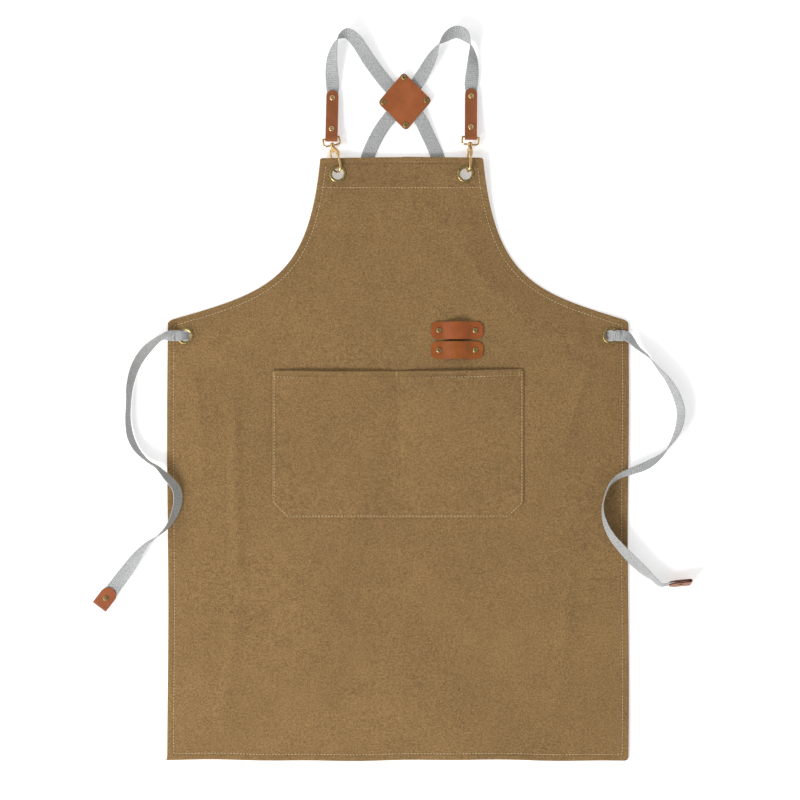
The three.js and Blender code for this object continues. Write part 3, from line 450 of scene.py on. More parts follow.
class Cloth:
    """A sewn sheet: an outline in mm with holes, a front height and a thickness at every point."""

    def __init__(self, outline, rings, holes=(), rows=(), cell=5.5):
        self.loop = resampled(outline, EDGE_STEP)
        cut_out = [ring_of(centre, radius) for centre, radius in holes]
        starts, ends = self.loop, np.roll(self.loop, -1, axis=0)
        parts = []
        for inset in rings:
            ring = offset_loop(self.loop, inset)
            ring = ring[inside(ring, self.loop)]
            parts.append(ring[to_segments(ring, starts, ends) > inset - 0.12])
        low, high = self.loop.min(axis=0), self.loop.max(axis=0)
        xs = np.arange(low[0], high[0], cell)
        ys = np.arange(low[1], high[1], cell * 0.87)
        grid = np.array([(x + (cell / 2 if row % 2 else 0), y) for row, y in enumerate(ys) for x in xs])
        grid = grid[inside(grid, self.loop)]
        grid = grid[to_segments(grid, starts, ends) > rings[-1] + cell * 0.5]
        for row in rows:
            grid = grid[np.abs(grid[:, 1] - row) > cell * 0.45]
            line = np.array([(x, row) for x in np.arange(low[0], high[0], cell)])
            line = line[inside(line, self.loop)]
            parts.append(line[to_segments(line, starts, ends) > rings[-1] + 1])
        for centre, radius in holes:
            grid = grid[away_from(grid, centre) > radius + HOLE_CLEAR]
            parts += [ring_of(centre, radius + grow) for grow in HOLE_RINGS]
        points = np.vstack([self.loop, *cut_out, *parts, grid])
        edges, first = [], 0
        for loop in [self.loop, *cut_out]:
            count = len(loop)
            edges += [(first + i, first + (i + 1) % count) for i in range(count)]
            first += count
        verts, _, faces, *_ = delaunay_2d_cdt([Vector(p) for p in points], edges, [], 0, 1e-5)
        self.points = np.array([(v.x, v.y) for v in verts])
        faces = np.array([list(face) for face in faces])
        middles = self.points[faces].mean(axis=1)
        keep = inside(middles, self.loop)
        for hole in cut_out:
            keep &= ~inside(middles, hole)
        used, renumbered = np.unique(faces[keep], return_inverse=True)
        self.points = self.points[used]
        self.faces = renumbered.reshape(-1, 3)
        self.edge = to_segments(self.points, starts, ends)
        for centre, radius in holes:
            self.edge = np.minimum(self.edge, np.maximum(away_from(self.points, centre) - radius, 0) + 0.02)

    def mesh(self, name, front, thickness, rim, painted_seam_shade):
        count = len(self.points)
        inset = 0.28 * thickness * (1 - np.clip(self.edge / EDGE_ROUND, 0, 1))
        top = np.column_stack([self.points, front - inset])
        bottom = np.column_stack([self.points, front - thickness + inset])
        faces = [tuple(face) for face in self.faces.tolist()]
        back = [tuple(count + i for i in face[::-1]) for face in faces]
        directed = dict.fromkeys((face[i], face[(i + 1) % 3]) for face in faces for i in range(3))
        walls = [(b, a, a + count, b + count) for a, b in directed if (b, a) not in directed]
        mesh = smooth_mesh(name, np.vstack([top, bottom]), faces + back + walls)
        float_attribute(mesh, "rim", np.concatenate([rim, rim]))
        float_attribute(mesh, "painted_seam_shade", np.concatenate([painted_seam_shade, painted_seam_shade]))
        mesh.update()
        return mesh


def smooth_step(value, low, high):
    t = np.clip((value - low) / (high - low), 0, 1)
    return t * t * (3 - 2 * t)


def bezier(points, count):
    p = [np.array(q, dtype=float) for q in points]
    return [(1 - t) ** 3 * p[0] + 3 * (1 - t) ** 2 * t * p[1] + 3 * (1 - t) * t ** 2 * p[2] + t ** 3 * p[3]
            for t in np.linspace(0, 1, count)]


SKIRT_HALF = 343.0
WAIST = 654.0
TOP = 898.0
BIB_HALF = 121.0
BIB_MIDDLE = 5.5
FACE = 4.0  # the CAD cloth's front face
BIB_FOLD = 780.0
BIB_SLOPE = math.tan(math.radians(3.8))
BIB_EYELETS = [(BIB_MIDDLE - 95, 872.0), (BIB_MIDDLE + 95, 872.0)]
WAIST_EYELETS = [(-317.0, 632.0), (317.0, 632.0)]
EYELET_HOLE = 9.2
TOOL_LOOP_X = 88.0
TOOL_LOOP_ROWS = (610.5, 640.0)
POCKET_BASE = 361.0
POCKET_TOP = 581.0
POCKET_HALF = 187.0
POCKET_CHAMFER = 23.0
POCKET_ROW = 2.8  # the pocket's stitches in from its sides
MOUTH_ROW = 9.5  # and down from its mouth
MOUTH_TURN = 12.2
DEEP_HEM = 50.0
HEM_TURN = 12.1
HEM_ROW = 9.4  # the hem's stitches in from the edge
SINK = 0.15  # how deep the stitches lie in the cloth
# What passes under the cloth, from the bib's edge to each waist eyelet.
UNDER_STRAPS = (
    [(57, 904), (66, 880), (82, 830), (104, 770), (140, 705), (200, 652), (258, 633), (317, 632)],
    [(-43, 904), (-50, 880), (-68, 830), (-94, 770), (-134, 705), (-198, 652), (-258, 633), (-317, 632)],
)


# Soft folds in the skirt: foot, head, half width and height.
SOFT_FOLDS = (
    ((-238, 285), (-243, 520), 8, 2.2), ((-262, 60), (-240, 210), 10, 1.8),
    ((-290, 430), (-300, 560), 8, 1.2), ((238, 90), (262, 300), 11, 1.4),
    ((246, 470), (284, 590), 8, 1.9), ((-60, 90), (70, 130), 13, 1.1),
    ((150, 690), (60, 800), 11, 1.0), ((-150, 640), (-80, 760), 11, 1.0),
)


def panel_outline():
    corner = 4.0
    right_arm, left_arm = (bezier([
        (sign * (SKIRT_HALF - corner), WAIST + 1.3), (BIB_MIDDLE + sign * 204, 696),
        (BIB_MIDDLE + sign * 139, 711), (BIB_MIDDLE + sign * BIB_HALF, TOP - 3)], 60) for sign in (1, -1))
    top = [(BIB_MIDDLE + x, TOP - 0.8 + 0.9 * math.cos(x / 38) - 0.6 * (x < 0)) for x in np.linspace(
        BIB_HALF - 3, 3 - BIB_HALF, 40)]
    bottom = [(x, 0.9 * math.sin(x / 61) + 0.5 * math.sin(x / 23 + 1)) for x in np.linspace(
        -SKIRT_HALF - 2.5, SKIRT_HALF - 3, 60)]
    right = [(SKIRT_HALF + 0.8 * math.sin(y / 70), y) for y in np.linspace(3, WAIST - 3, 50)]
    left = [(-SKIRT_HALF - 0.9 * math.sin(y / 83 + 2), y) for y in np.linspace(WAIST - 3, 5, 50)]
    return np.array([*bottom, *right, *right_arm, *top, *left_arm[::-1], *left])


def swell(x, y):
    """Slow waves of cloth lying on a table, from -1 to 1."""
    a = np.sin(x / 71 + 1.1 * np.sin(y / 113 + 0.4) + 0.6)
    b = np.sin(y / 59 + 1.4 * np.sin(x / 127 + 2.2))
    c = np.sin((x * 0.8 + y * 0.6) / 38 + 1.7 * np.sin((x - y) / 171))
    d = np.sin((x * 0.35 - y * 0.94) / 23 + 1.2 * np.sin(x / 67))
    return 0.42 * a + 0.3 * b + 0.18 * c + 0.1 * d


def held_flat(points):
    """1 where the eyelets or the tool loops hold the cloth at its CAD height, 0 away from it."""
    weight = np.zeros(len(points))
    spots = [(c, 15, 45) for c in BIB_EYELETS + WAIST_EYELETS]
    spots += [((TOOL_LOOP_X + s * 27, y), 8, 30) for y in TOOL_LOOP_ROWS for s in (-1, 1)]
    for centre, near, far in spots:
        weight = np.maximum(weight, 1 - smooth_step(away_from(points, centre), near, far))
    return weight


def panel_front(points, edge):
    x, y = points[:, 0], points[:, 1]
    waves = swell(x, y) * sizes().swell / MM
    base = 3.3 + waves
    for strap in UNDER_STRAPS:
        line = np.array(strap, dtype=float)
        away = to_segments(points, line[:-1], line[1:])
        base += 1.0 * np.exp(-(away / 15) ** 2)
    # pull folds that run from the waist eyelets into the skirt
    for sign, (ex, ey) in zip((-1, 1), WAIST_EYELETS):
        dx, dy = (ex - x) * sign, ey - y
        along = dx * 0.93 + dy * 0.37
        across = -dx * 0.37 + dy * 0.93
        fold = np.exp(-((across - 4) / (7 + 0.05 * np.abs(along))) ** 2) * np.exp(-((along - 45) / 45) ** 2)
        base += 1.5 * fold
    for foot, head, width, height in SOFT_FOLDS:
        away = to_segments(points, np.array([foot], dtype=float), np.array([head], dtype=float))
        base += height * np.exp(-(away / width) ** 2)
    pocket = np.maximum(np.abs(x) - POCKET_HALF, np.maximum(POCKET_BASE - y, y - POCKET_TOP))
    pocket_hold = 1 - smooth_step(pocket, 0, 30)
    base = base * (1 - pocket_hold) + np.minimum(base, 3.9) * pocket_hold
    low_edge = 2.85 + 0.8 * (0.5 + 0.5 * np.sin(x / 47 + y / 39)) + 0.3 * waves
    settle = 1 - smooth_step(edge, 0, 42)
    front = base * (1 - settle) + low_edge * settle
    rise = np.maximum(y - BIB_FOLD, 0) * BIB_SLOPE
    sag = np.clip(1 - ((x - BIB_MIDDLE) / 88) ** 2, 0, 1) ** 1.3
    front = front + rise * (1 - 0.5 * sag)
    hard = held_flat(points)
    return front * (1 - hard) + (FACE + rise) * hard


class APRON_OT_panel(bpy.types.Operator):
    """Lay the canvas panel, with its turned hems and their stitching"""
    bl_idname = "apron.panel"
    bl_label = "Canvas panel"

    def execute(self, context):
        holes = [(c, EYELET_HOLE) for c in BIB_EYELETS + WAIST_EYELETS]
        cloth = Cloth(panel_outline(), (EDGE_ROUND, 2.0, 5.0, 8.6, HEM_ROW, 10.2, 11.8, 12.4, 15.5), holes,
                      rows=(TOP - DEEP_HEM - 0.3, TOP - DEEP_HEM + 0.3), cell=sizes().cell / MM)
        points, edge = cloth.points, cloth.edge
        layer = sizes().canvas / MM
        near_hole = np.zeros(len(points), dtype=bool)
        for c, r in holes:
            near_hole |= away_from(points, c) < r + 6
        turned = ((edge < HEM_TURN) & ~near_hole) | (points[:, 1] > TOP - DEEP_HEM)
        thickness = layer + np.where(turned, 1.05 * layer, 0)
        front = panel_front(points, edge)
        seam = np.exp(-((edge - HEM_ROW) / 1.1) ** 2) * ~near_hole
        front = front - 0.35 * seam + 0.18 * (1 - smooth_step(edge, 10, 13)) * ~near_hole
        rim = (1 - smooth_step(edge, 0.5, 2.2)) * ~near_hole
        # seam * 0.5 is painted shade in the hem's stitch groove
        mesh = cloth.mesh("apron_cloth", front, thickness, rim, seam * 0.5)
        panel = settled(linked("apron_cloth", mesh), "canvas", "apron_panel")
        loop = cloth.loop
        self.sew(offset_loop(loop, HEM_ROW), loop)
        return {"FINISHED"}

    def sew(self, line, loop):
        """Rows of stitches round the hem and across the bib's deep hem."""
        starts, ends = loop, np.roll(loop, -1, axis=0)
        line = line[to_segments(line, starts, ends) > HEM_ROW - 0.2]
        below = line[:, 1] < TOP - 12
        start = int(np.argmax(below & ~np.roll(below, 1)))
        rows = [np.roll(line, -start, axis=0)[:int(below.sum())]]
        for drop, reach in ((7.5, BIB_HALF - 4), (46, BIB_HALF)):
            rows.append(np.array([(x, TOP - drop) for x in np.arange(
                BIB_MIDDLE - reach, BIB_MIDDLE + reach, 1.5)]))

        def height(points):
            return panel_front(points, to_segments(points, starts, ends)) - SINK

        layer = sizes().canvas / MM
        stitching("hem_stitching", rows, height)
        stitching("hem_stitching_back", rows, lambda p: height(p) - 2.05 * layer)


def stitch_shape():
    """One low-sided stitch lying along Z, a unit long and wide: its corners and faces."""
    bpy.ops.object.select_all(action="DESELECT")
    bpy.ops.mesh.primitive_cylinder_add(vertices=6, radius=0.5, depth=0.62, end_fill_type="NGON")
    shape = bpy.context.object
    bpy.ops.object.mode_set(mode="EDIT")
    bpy.ops.mesh.select_all(action="DESELECT")
    bpy.ops.object.mode_set(mode="OBJECT")
    for polygon in shape.data.polygons:
        polygon.select = abs(polygon.normal.z) > 0.9
    bpy.ops.object.mode_set(mode="EDIT")
    bpy.ops.mesh.select_mode(type="FACE")
    bpy.ops.mesh.extrude_faces_move(TRANSFORM_OT_shrink_fatten={"value": 0.19})
    bpy.ops.transform.resize(value=(0.45, 0.45, 1))
    bpy.ops.object.mode_set(mode="OBJECT")
    corners = np.array([v.co[:] for v in shape.data.vertices])
    faces = [list(p.vertices) for p in shape.data.polygons]
    bpy.data.objects.remove(shape)
    return corners, faces


def stitching(name, rows, height, finish="thread"):
    """Thread laid in short stitches along each row, one shape copied along it."""
    run, gap, thick = (v / MM for v in (sizes().stitch, sizes().stitch_gap, sizes().thread))
    unit, unit_faces = stitch_shape()
    sunk = 0.35 * thick * (1 - np.clip(1.4 - 2 * np.abs(unit[:, 2]) * 1.1, 0, 1))
    lift = unit[:, 1:2] * thick * 0.8 + 0.1 - sunk[:, None]
    places, faces = [], []
    for row in rows:
        line = resampled(row, 1.0, closed=False)
        run_at = run_along(line)
        begun = np.arange(0, run_at[-1] - run, run + gap)
        a, b = at_runs(line, run_at, begun), at_runs(line, run_at, begun + run)
        for start, end in zip(np.column_stack([a, height(a)]), np.column_stack([b, height(b)])):
            ahead = end - start
            size = float(np.linalg.norm(ahead))
            if size < run * 0.5 or size > run * 1.6:
                continue
            ahead /= size
            side = np.array([-ahead[1], ahead[0], 0.0])
            side /= np.linalg.norm(side)
            corners = start + (unit[:, 2:3] + 0.5) * size * ahead + unit[:, 0:1] * thick * side
            corners = corners + lift * np.cross(ahead, side)
            faces += [[v + len(places) for v in face] for face in unit_faces]
            places += corners.tolist()
    piece = linked(name, smooth_mesh(name, places, faces))
    settled(piece, "canvas", material=once(finish, thread_finish))
    edited(piece, lambda: bpy.ops.mesh.normals_make_consistent(inside=False))


# ---- Pocket ----
def pocket_outline():
    half, low, high, cut = POCKET_HALF, POCKET_BASE, POCKET_TOP, POCKET_CHAMFER
    return np.array([(-half + cut, low), (half - cut, low), (half, low + cut), (half, high + 1.5),
                     (half * 0.5, high - 0.8), (0, high - 1.6), (-half * 0.5, high - 2), (-half, high - 0.5),
                     (-half, low + cut)])


def dense(corners):
    parts = []
    for a, b in zip(corners, np.roll(corners, -1, axis=0)):
        count = max(1, int(np.hypot(*(b - a)) / 3.0))
        parts.append(a + np.linspace(0, 1, count, endpoint=False)[:, None] * (b - a))
    return np.vstack(parts)


def pocket_front(points):
    """The pocket's front: sewn down at its seams, fullest at the mouth of each compartment."""
    x, y = points[:, 0], points[:, 1]
    u = np.clip(np.abs(np.abs(x) / POCKET_HALF - 0.5) / 0.5, 0, 1)
    v = np.clip((y - POCKET_BASE) / (POCKET_TOP - POCKET_BASE), 0, 1)
    across = (1 - u ** 2.4)
    fullness = np.where(x > 0, 3.6, 3.0) * across * (0.3 + 0.7 * v ** 1.6) * smooth_step(v, 0, 0.22)
    waves = swell(x * 1.3 + 90, y * 1.2) * 0.55 * across
    dimple = np.exp(-((x + 164) / 8) ** 2 - ((y - 392) / 17) ** 2)
    return 5.35 + fullness + waves - 0.9 * dimple * smooth_step(fullness, 0.3, 1.2)


class APRON_OT_pocket(bpy.types.Operator):
    """Sew on the two-compartment pocket"""
    bl_idname = "apron.pocket"
    bl_label = "Pocket"

    def execute(self, context):
        outline = dense(pocket_outline())
        cloth = Cloth(outline, (EDGE_ROUND, 2.0, POCKET_ROW, 3.6, 8.5, MOUTH_ROW, 10.5, 12.0, 12.6), cell=4.6)
        points, edge = cloth.points, cloth.edge
        layer = sizes().canvas / MM
        from_top = POCKET_TOP - points[:, 1]
        front = pocket_front(points)
        sides = np.minimum(POCKET_HALF - np.abs(points[:, 0]), points[:, 1] - POCKET_BASE)
        cut = np.abs(points[:, 0]) - (POCKET_HALF - POCKET_CHAMFER) - (points[:, 1] - POCKET_BASE)
        sides = np.minimum(sides, -cut / math.sqrt(2))
        seam = np.exp(-((sides - POCKET_ROW) / 0.9) ** 2) + np.exp(-((from_top - MOUTH_ROW) / 0.9) ** 2)
        middle = np.exp(-(points[:, 0] / 1.3) ** 2)
        front = front - 0.3 * np.minimum(seam, 1) - 0.35 * middle
        thickness = layer + np.where(from_top < MOUTH_TURN, 0.9 * layer, 0)
        front = front + np.where(from_top < MOUTH_TURN, 0.25, 0)
        thickness = np.minimum(thickness, front - FACE - 0.3)
        rim = 1 - smooth_step(edge, 0.4, 2.0)
        # The pocket's seams and middle groove get painted shade.
        mesh = cloth.mesh("pocket_cloth", front, thickness, rim, np.clip(0.6 * seam + middle * 0.5, 0, 1))
        pocket = settled(linked("pocket_cloth", mesh), "canvas", "pocket")

        def height(p):
            return pocket_front(p) - SINK

        top_line = np.array([(x, np.interp(x, [-187, -93, 0, 93, 187], [571, 569.5, 569.9, 570.7, 573]))
                             for x in np.arange(-POCKET_HALF + 2, POCKET_HALF - 2, 3.0)])
        wide, narrow = POCKET_HALF - POCKET_ROW, POCKET_HALF - POCKET_CHAMFER
        low, corner = POCKET_BASE + POCKET_ROW, POCKET_BASE + POCKET_CHAMFER
        side_line = np.array([(-wide, POCKET_TOP - 2), (-wide, corner), (-narrow, low), (narrow, low),
                              (wide, corner), (wide, POCKET_TOP - 1)])
        divider = np.array([(0.0, y) for y in np.arange(POCKET_BASE + 3, POCKET_TOP - 10, 3.0)])
        stitching("pocket_stitching", [side_line, top_line], height)
        stitching("divider_stitching", [divider], height, "dull_thread")
        self.tack(height)
        return {"FINISHED"}

    def tack(self, height):
        """Bar tacks at the mouth's ends and over the divider."""
        rows = []
        for x0 in (-POCKET_HALF + 4.5, 0, POCKET_HALF - 4.5):
            for k in range(9):
                y = POCKET_TOP - 3 - k * 0.75
                rows.append(np.array([(x0 - 3.4, y), (x0 + 3.4, y + 0.2)]))
        stitching("pocket_bar_tacks", rows, lambda p: height(p) + 0.25, "dull_thread")


# ---- Webbing ----
RIM_Z = 7.35  # middle of the webbing as it leaves over a waist eyelet
FLOOR_Z = 0.85  # and where it lies on the table
TIE_START_ROLL = 12  # degrees the webbing has turned by the eyelet's outer edge
LOWER_STRAP_Z = 3.9
UPPER_STRAP_Z = 5.7
PATCH = (10.3, 980.5)
# The webbing's section, from one selvedge over the face to the other: across its width and half thickness.
FACE_PROFILE = [(0.5, 0.0), (0.488, 0.62), (0.455, 0.93),
                *((u, 0.9 + 0.2 * abs(u)) for u in (0.38, 0.25, 0.12, 0.0, -0.12, -0.25, -0.38)),
                (-0.455, 0.93), (-0.488, 0.62), (-0.5, 0.0)]
PROFILE = FACE_PROFILE + [(u, -v) for u, v in FACE_PROFILE[-2:0:-1]]


def stops_from(place, stops):
    return [(place[0] + s[0], place[1] + s[1], s[2], s[3], s[4] if len(s) > 4 else 20.0) for s in stops]


def span_of(values, t):
    """Which span of the values t, 0 to 1, falls in, and how far into it."""
    last = len(values) - 1
    i = min(int(t * last), last - 1)
    return last, i, t * last - i


def hermite(start, end, leaving, arriving, w):
    cubic = 2 * start - 2 * end + leaving + arriving
    square = -3 * start + 3 * end - 2 * leaving - arriving
    return start + w * leaving + w * w * square + w ** 3 * cubic


def centripetal(points, t):
    """The place at t on a centripetal curve through the points."""
    last, i, w = span_of(points, t)
    p1, p2 = points[i], points[i + 1]
    p0 = points[i - 1] if i > 0 else 2 * points[0] - points[1]
    p3 = points[i + 2] if i + 2 <= last else 2 * points[last] - points[last - 1]
    d0, d1, d2 = (float((b - a) @ (b - a)) ** 0.25 for a, b in ((p0, p1), (p1, p2), (p2, p3)))
    leaving = ((p1 - p0) / d0 - (p2 - p0) / (d0 + d1) + (p2 - p1) / d1) * d1
    arriving = ((p2 - p1) / d1 - (p3 - p1) / (d1 + d2) + (p3 - p2) / d2) * d1
    return hermite(p1, p2, leaving, arriving, w)


def uniform(values, t):
    """The value at t on an even curve through the values."""
    last, i, w = span_of(values, t)
    before, start = values[max(i - 1, 0)], values[i]
    end, after = values[min(i + 1, last)], values[min(i + 2, last)]
    return hermite(start, end, 0.5 * (end - before), 0.5 * (after - start), w)


def webbing_piece(name, stops, per_stop):
    """Flat webbing along a route, with round selvedges and a surface map in metres, and its middle."""
    points = [np.array(s[:3], dtype=float) for s in stops]
    forms = [np.array((math.radians(s[3]), s[4])) for s in stops]
    steps = (len(stops) - 1) * per_stop
    up = np.array([0.0, 0.0, 1.0])
    full = sizes().webbing / MM
    half = sizes().webbing_thickness / MM / 2
    places, line, runs = [], [], [0.0]
    for i in range(steps + 1):
        t = i / steps
        here = centripetal(points, t)
        ahead = centripetal(points, min(t + 1e-4, 1)) - centripetal(points, max(t - 1e-4, 0))
        ahead /= np.linalg.norm(ahead)
        right = np.cross(ahead, up)
        right /= np.linalg.norm(right)
        normal = np.cross(right, ahead)
        roll, width = uniform(forms, t)
        across = right * math.cos(roll) + normal * math.sin(roll)
        face = normal * math.cos(roll) - right * math.sin(roll)
        if line:
            runs.append(runs[-1] + float(np.linalg.norm(here - line[-1])))
        line.append(here)
        places += [here + across * width * u + face * half * v for u, v in PROFILE]
    count = len(PROFILE)
    faces, maps = [], []
    for i in range(steps):
        for j in range(count):
            k = (j + 1) % count
            faces.append((i * count + j, i * count + k, (i + 1) * count + k, (i + 1) * count + j))
            ua, ub = PROFILE[j][0] * full, PROFILE[k][0] * full
            maps += [(ua, runs[i]), (ub, runs[i]), (ub, runs[i + 1]), (ua, runs[i + 1])]
    for end, base in ((0, 0), (1, steps * count)):
        ring = [base + j for j in range(count)]
        faces.append(tuple(ring if end else ring[::-1]))
        maps += [(0.0, 0.0)] * count
    mesh = smooth_mesh(name, places, faces)
    layer = mesh.uv_layers.new(name="surface")
    layer.data.foreach_set("uv", (np.array(maps) * MM).astype(np.float32).ravel())
    mesh.update()
    return linked(name, mesh), in_frame(line)


def through_eyelet(sign, roll):
    x, y = WAIST_EYELETS[0 if sign < 0 else 1]
    rows = [(-24, FLOOR_Z, 20, 0), (-13, FLOOR_Z, 14, 0), (-6.8, FLOOR_Z, 12, 0), (-4, 1.8, 11, 0),
            (-0.8, 4.4, 11, 0), (3.6, RIM_Z - 0.5, 14, 0), (9, RIM_Z + 0.2, 16, 0),
            (14, RIM_Z + 0.3, 16.5, TIE_START_ROLL)]
    return [(x + sign * out, y, z, roll + turn, width) for out, z, width, turn in rows]


TAB_ENDS = {"left": (-97.2549, 996.7423), "right": (108.8452, 999.3662)}
TAB_BARS = {"left": (-98.751, 925.324, 10.2), "right": (108.211, 926.730, 10.2)}


def in_tab(side):
    """The stops inside the sloping leather tab, from near its fold to its open end."""
    end = np.array([*TAB_ENDS[side], 4.4])
    ahead = end - np.array(TAB_BARS[side])
    ahead /= np.linalg.norm(ahead)
    rows = ((63, 17.4), (38.5, 17.4), (2, 17.6), (-7, 20))
    return [(*(end - ahead * inward), 0, width) for inward, width in rows]


STRAPS = {
    "left": [
        *in_tab("left"),
        *stops_from(TAB_ENDS["left"], [(-1.3, 29.3, 7.5, 20), (-0.2, 49.3, 11.5, 42), (5.3, 70.3, 14, 72),
                                       (10.8, 78.8, 14.5, 98)]),
        *stops_from(PATCH, [
            (-85.3, 99.5, 13.5, 132), (-72.3, 89.5, 10.5, 154), (-52.3, 59.5, 7.5, 168),
            (-25.3, 24.5, UPPER_STRAP_Z, 180), (-0.3, -0.5, UPPER_STRAP_Z, 180),
            (20.7, -23.5, UPPER_STRAP_Z, 180), (34.7, -50.5, 3.4, 180), (46.7, -76.5, 1.4, 180),
            (55.7, -100.5, FLOOR_Z, 180), (71.7, -150.5, FLOOR_Z, 180), (93.7, -210.5, FLOOR_Z, 180),
            (129.7, -275.5, FLOOR_Z, 180)]),
        *stops_from(WAIST_EYELETS[1], [(-117, 20, FLOOR_Z, 180), (-59, 1, FLOOR_Z, 180)]),
        *through_eyelet(1, 180),
    ],
    "right": [
        *in_tab("right"),
        *stops_from(TAB_ENDS["right"], [(1.8, 26.6, 8, -20), (1.7, 46.6, 12, -48), (-1.8, 65.6, 14.5, -88),
                                        (-11.8, 79.6, 13, -140)]),
        *stops_from(PATCH, [
            (75.7, 102, 12.5, -146), (62.7, 95.5, 13.5, -126), (52.2, 85.5, 14, -90), (40.7, 65.5, 9.5, -40),
            (24.7, 37.5, 5.5, -12), (9.7, 14.5, LOWER_STRAP_Z, 0), (-5.3, -4.5, LOWER_STRAP_Z, 0),
            (-22.3, -23.5, LOWER_STRAP_Z, 0), (-38.3, -45.5, 2.6, 0), (-53.3, -76.5, 1.2, 0),
            (-60.3, -100.5, FLOOR_Z, 0), (-78.3, -150.5, FLOOR_Z, 0), (-104.3, -210.5, FLOOR_Z, 0),
            (-144.3, -275.5, FLOOR_Z, 0)]),
        *stops_from(WAIST_EYELETS[0], [(119, 20, FLOOR_Z, 0), (59, 1, FLOOR_Z, 0)]),
        *through_eyelet(-1, 0),
    ],
}


class APRON_OT_straps(bpy.types.Operator):
    """Run the two shoulder straps from tab to waist eyelet"""
    bl_idname = "apron.straps"
    bl_label = "Shoulder straps"

    def execute(self, context):
        for side in SIDES:
            strap, _ = webbing_piece(f"strap_webbing_{side}", STRAPS[side], 12)
            settled(strap, "webbing", f"shoulder_strap_{side}")
        return {"FINISHED"}


TIES = {
    "left": stops_from(WAIST_EYELETS[0], [
        (-14.8, 0, RIM_Z + 0.35, TIE_START_ROLL, 16.6), (-19.5, 0, RIM_Z + 1, 20, 17.1),
        (-24, 0.2, 11.6, 44, 18), (-35, -3.4, 13.6, 70, 19.3), (-55.5, -19.6, 10.5, 54),
        (-72, -43.4, 10, 56), (-81, -73.2, 10.6, 66),
        (-83, -98.6, 10.8, 76), (-83.8, -127, 10.8, 74), (-80, -150.7, 10.6, 68), (-70.4, -170, 10.8, 74),
        (-54, -186.5, 12.4, 86), (-40.6, -194.7, 14.4, 82), (-25.7, -210.3, 14.2, 66),
        (-12.3, -226.7, 13.4, 58), (-9.3, -243.1, 13.2, 56), (-12.3, -258, 13.6, 60), (-18.3, -273, 14.4, 70),
        (-27.2, -286.3, 14.7, 80), (-42, -299.7, 12.4, 92), (-55.5, -309.4, 10.9, 106),
        (-71, -328, 9.2, 136), (-86, -349, 6.4, 162)]),
    "right": stops_from(WAIST_EYELETS[1], [
        (14.8, 0, RIM_Z + 0.35, TIE_START_ROLL, 16.6), (19.5, -0.2, RIM_Z + 1, 18, 17.1),
        (27.5, -5.5, 12.8, 46, 18.2), (40, -19, 12.6, 70, 19.4), (54, -30, 11.4, 80),
        (68.9, -47.9, 11, 93), (83.8, -65.8, 10.8, 106),
        (97.2, -90.4, 10.4, 118), (103.2, -113.5, 10.2, 119), (100.2, -135.8, 10.4, 113),
        (91.3, -155.4, 10.8, 98), (75.5, -176.5, 10.8, 72), (54, -191.5, 12, 50), (30, -201, 13.6, 56),
        (11, -208.8, 14.2, 66), (-2.6, -221, 14.4, 76), (-10.8, -240, 14.6, 83), (-13.5, -257.8, 14.6, 90),
        (-9.3, -279, 14.5, 104), (0.4, -298.2, 14.1, 116), (14.7, -315.7, 13.6, 126), (32, -334, 12.8, 133),
        (49, -349.8, 10.6, 128), (62, -360.6, 11.8, 110)]),
}
TIE_MOUTHS = {
    "left": (WAIST_EYELETS[0], (-107, -376.6, 4.6), 232.5, 180),
    "right": (WAIST_EYELETS[1], (85, -368.8, 12.75), 5.5, 107),
}
TIE_IN_TIP = 30.35  # how far the tie runs into its leather tip


def straight_end(side):
    (ex, ey), (x, y, z), heading, roll = TIE_MOUTHS[side]
    dx, dy = math.cos(math.radians(heading)), math.sin(math.radians(heading))
    return [(ex + x + run * dx, ey + y + run * dy, z, roll, 20.0) for run in (-12, -2, 8, TIE_IN_TIP)]


class APRON_OT_ties(bpy.types.Operator):
    """Lay the two waist ties on the table, each to its leather tip"""
    bl_idname = "apron.ties"
    bl_label = "Waist ties"

    def execute(self, context):
        for side in SIDES:
            tie, route = webbing_piece(f"tie_webbing_{side}", TIES[side] + straight_end(side), 10)
            settled(tie, "webbing", f"waist_tie_{side}")
            tip = leather_piece(f"tie_tip_{side}", (0.86, 0.84, 0.9))
            rivet = rivet_piece(f"tie_tip_{side}_rivet", "antique_brass")
        return {"FINISHED"}


# ---- Leather ----
LEATHER_BREAK = 0.00035  # m that the leather's edges are broken by


def leather_piece(node, tint):
    """A leather piece from its CAD solid, with broken edges and marked cut sides."""
    piece = copy_of(node, f"leather_{node}")
    edited(piece, lambda: bpy.ops.mesh.dissolve_limited(angle_limit=math.radians(0.5)))
    applied(piece, "BEVEL", width=LEATHER_BREAK, segments=2, limit_method="ANGLE",
            angle_limit=math.radians(40))
    mesh = piece.data
    normals = np.array([p.normal[:] for p in mesh.polygons])
    areas = np.array([p.area for p in mesh.polygons])
    facing = np.linalg.eigh((normals * areas[:, None]).T @ normals)[1][:, -1]
    edge = (np.abs(normals @ facing) < 0.5).astype(float)
    for bent, lengthwise in (("tool_loop", (1, 0, 0)), ("strap_tab", (0, 1, 0))):
        if node.startswith(bent):
            crosswise = np.cross(lengthwise, facing)
            edge = (np.abs(normals @ (crosswise / np.linalg.norm(crosswise))) > 0.5).astype(float)
    float_attribute(mesh, "cut", edge, "FACE")
    smoothed(piece, 30)
    applied(piece, "WEIGHTED_NORMAL", keep_sharp=True)
    key = "leather" if tint == PLAIN else "leather_" + "_".join(str(int(c * 100)) for c in tint)
    return settled(piece, "leather", node, material=once(key, lambda name: leather_finish(name, tint)))


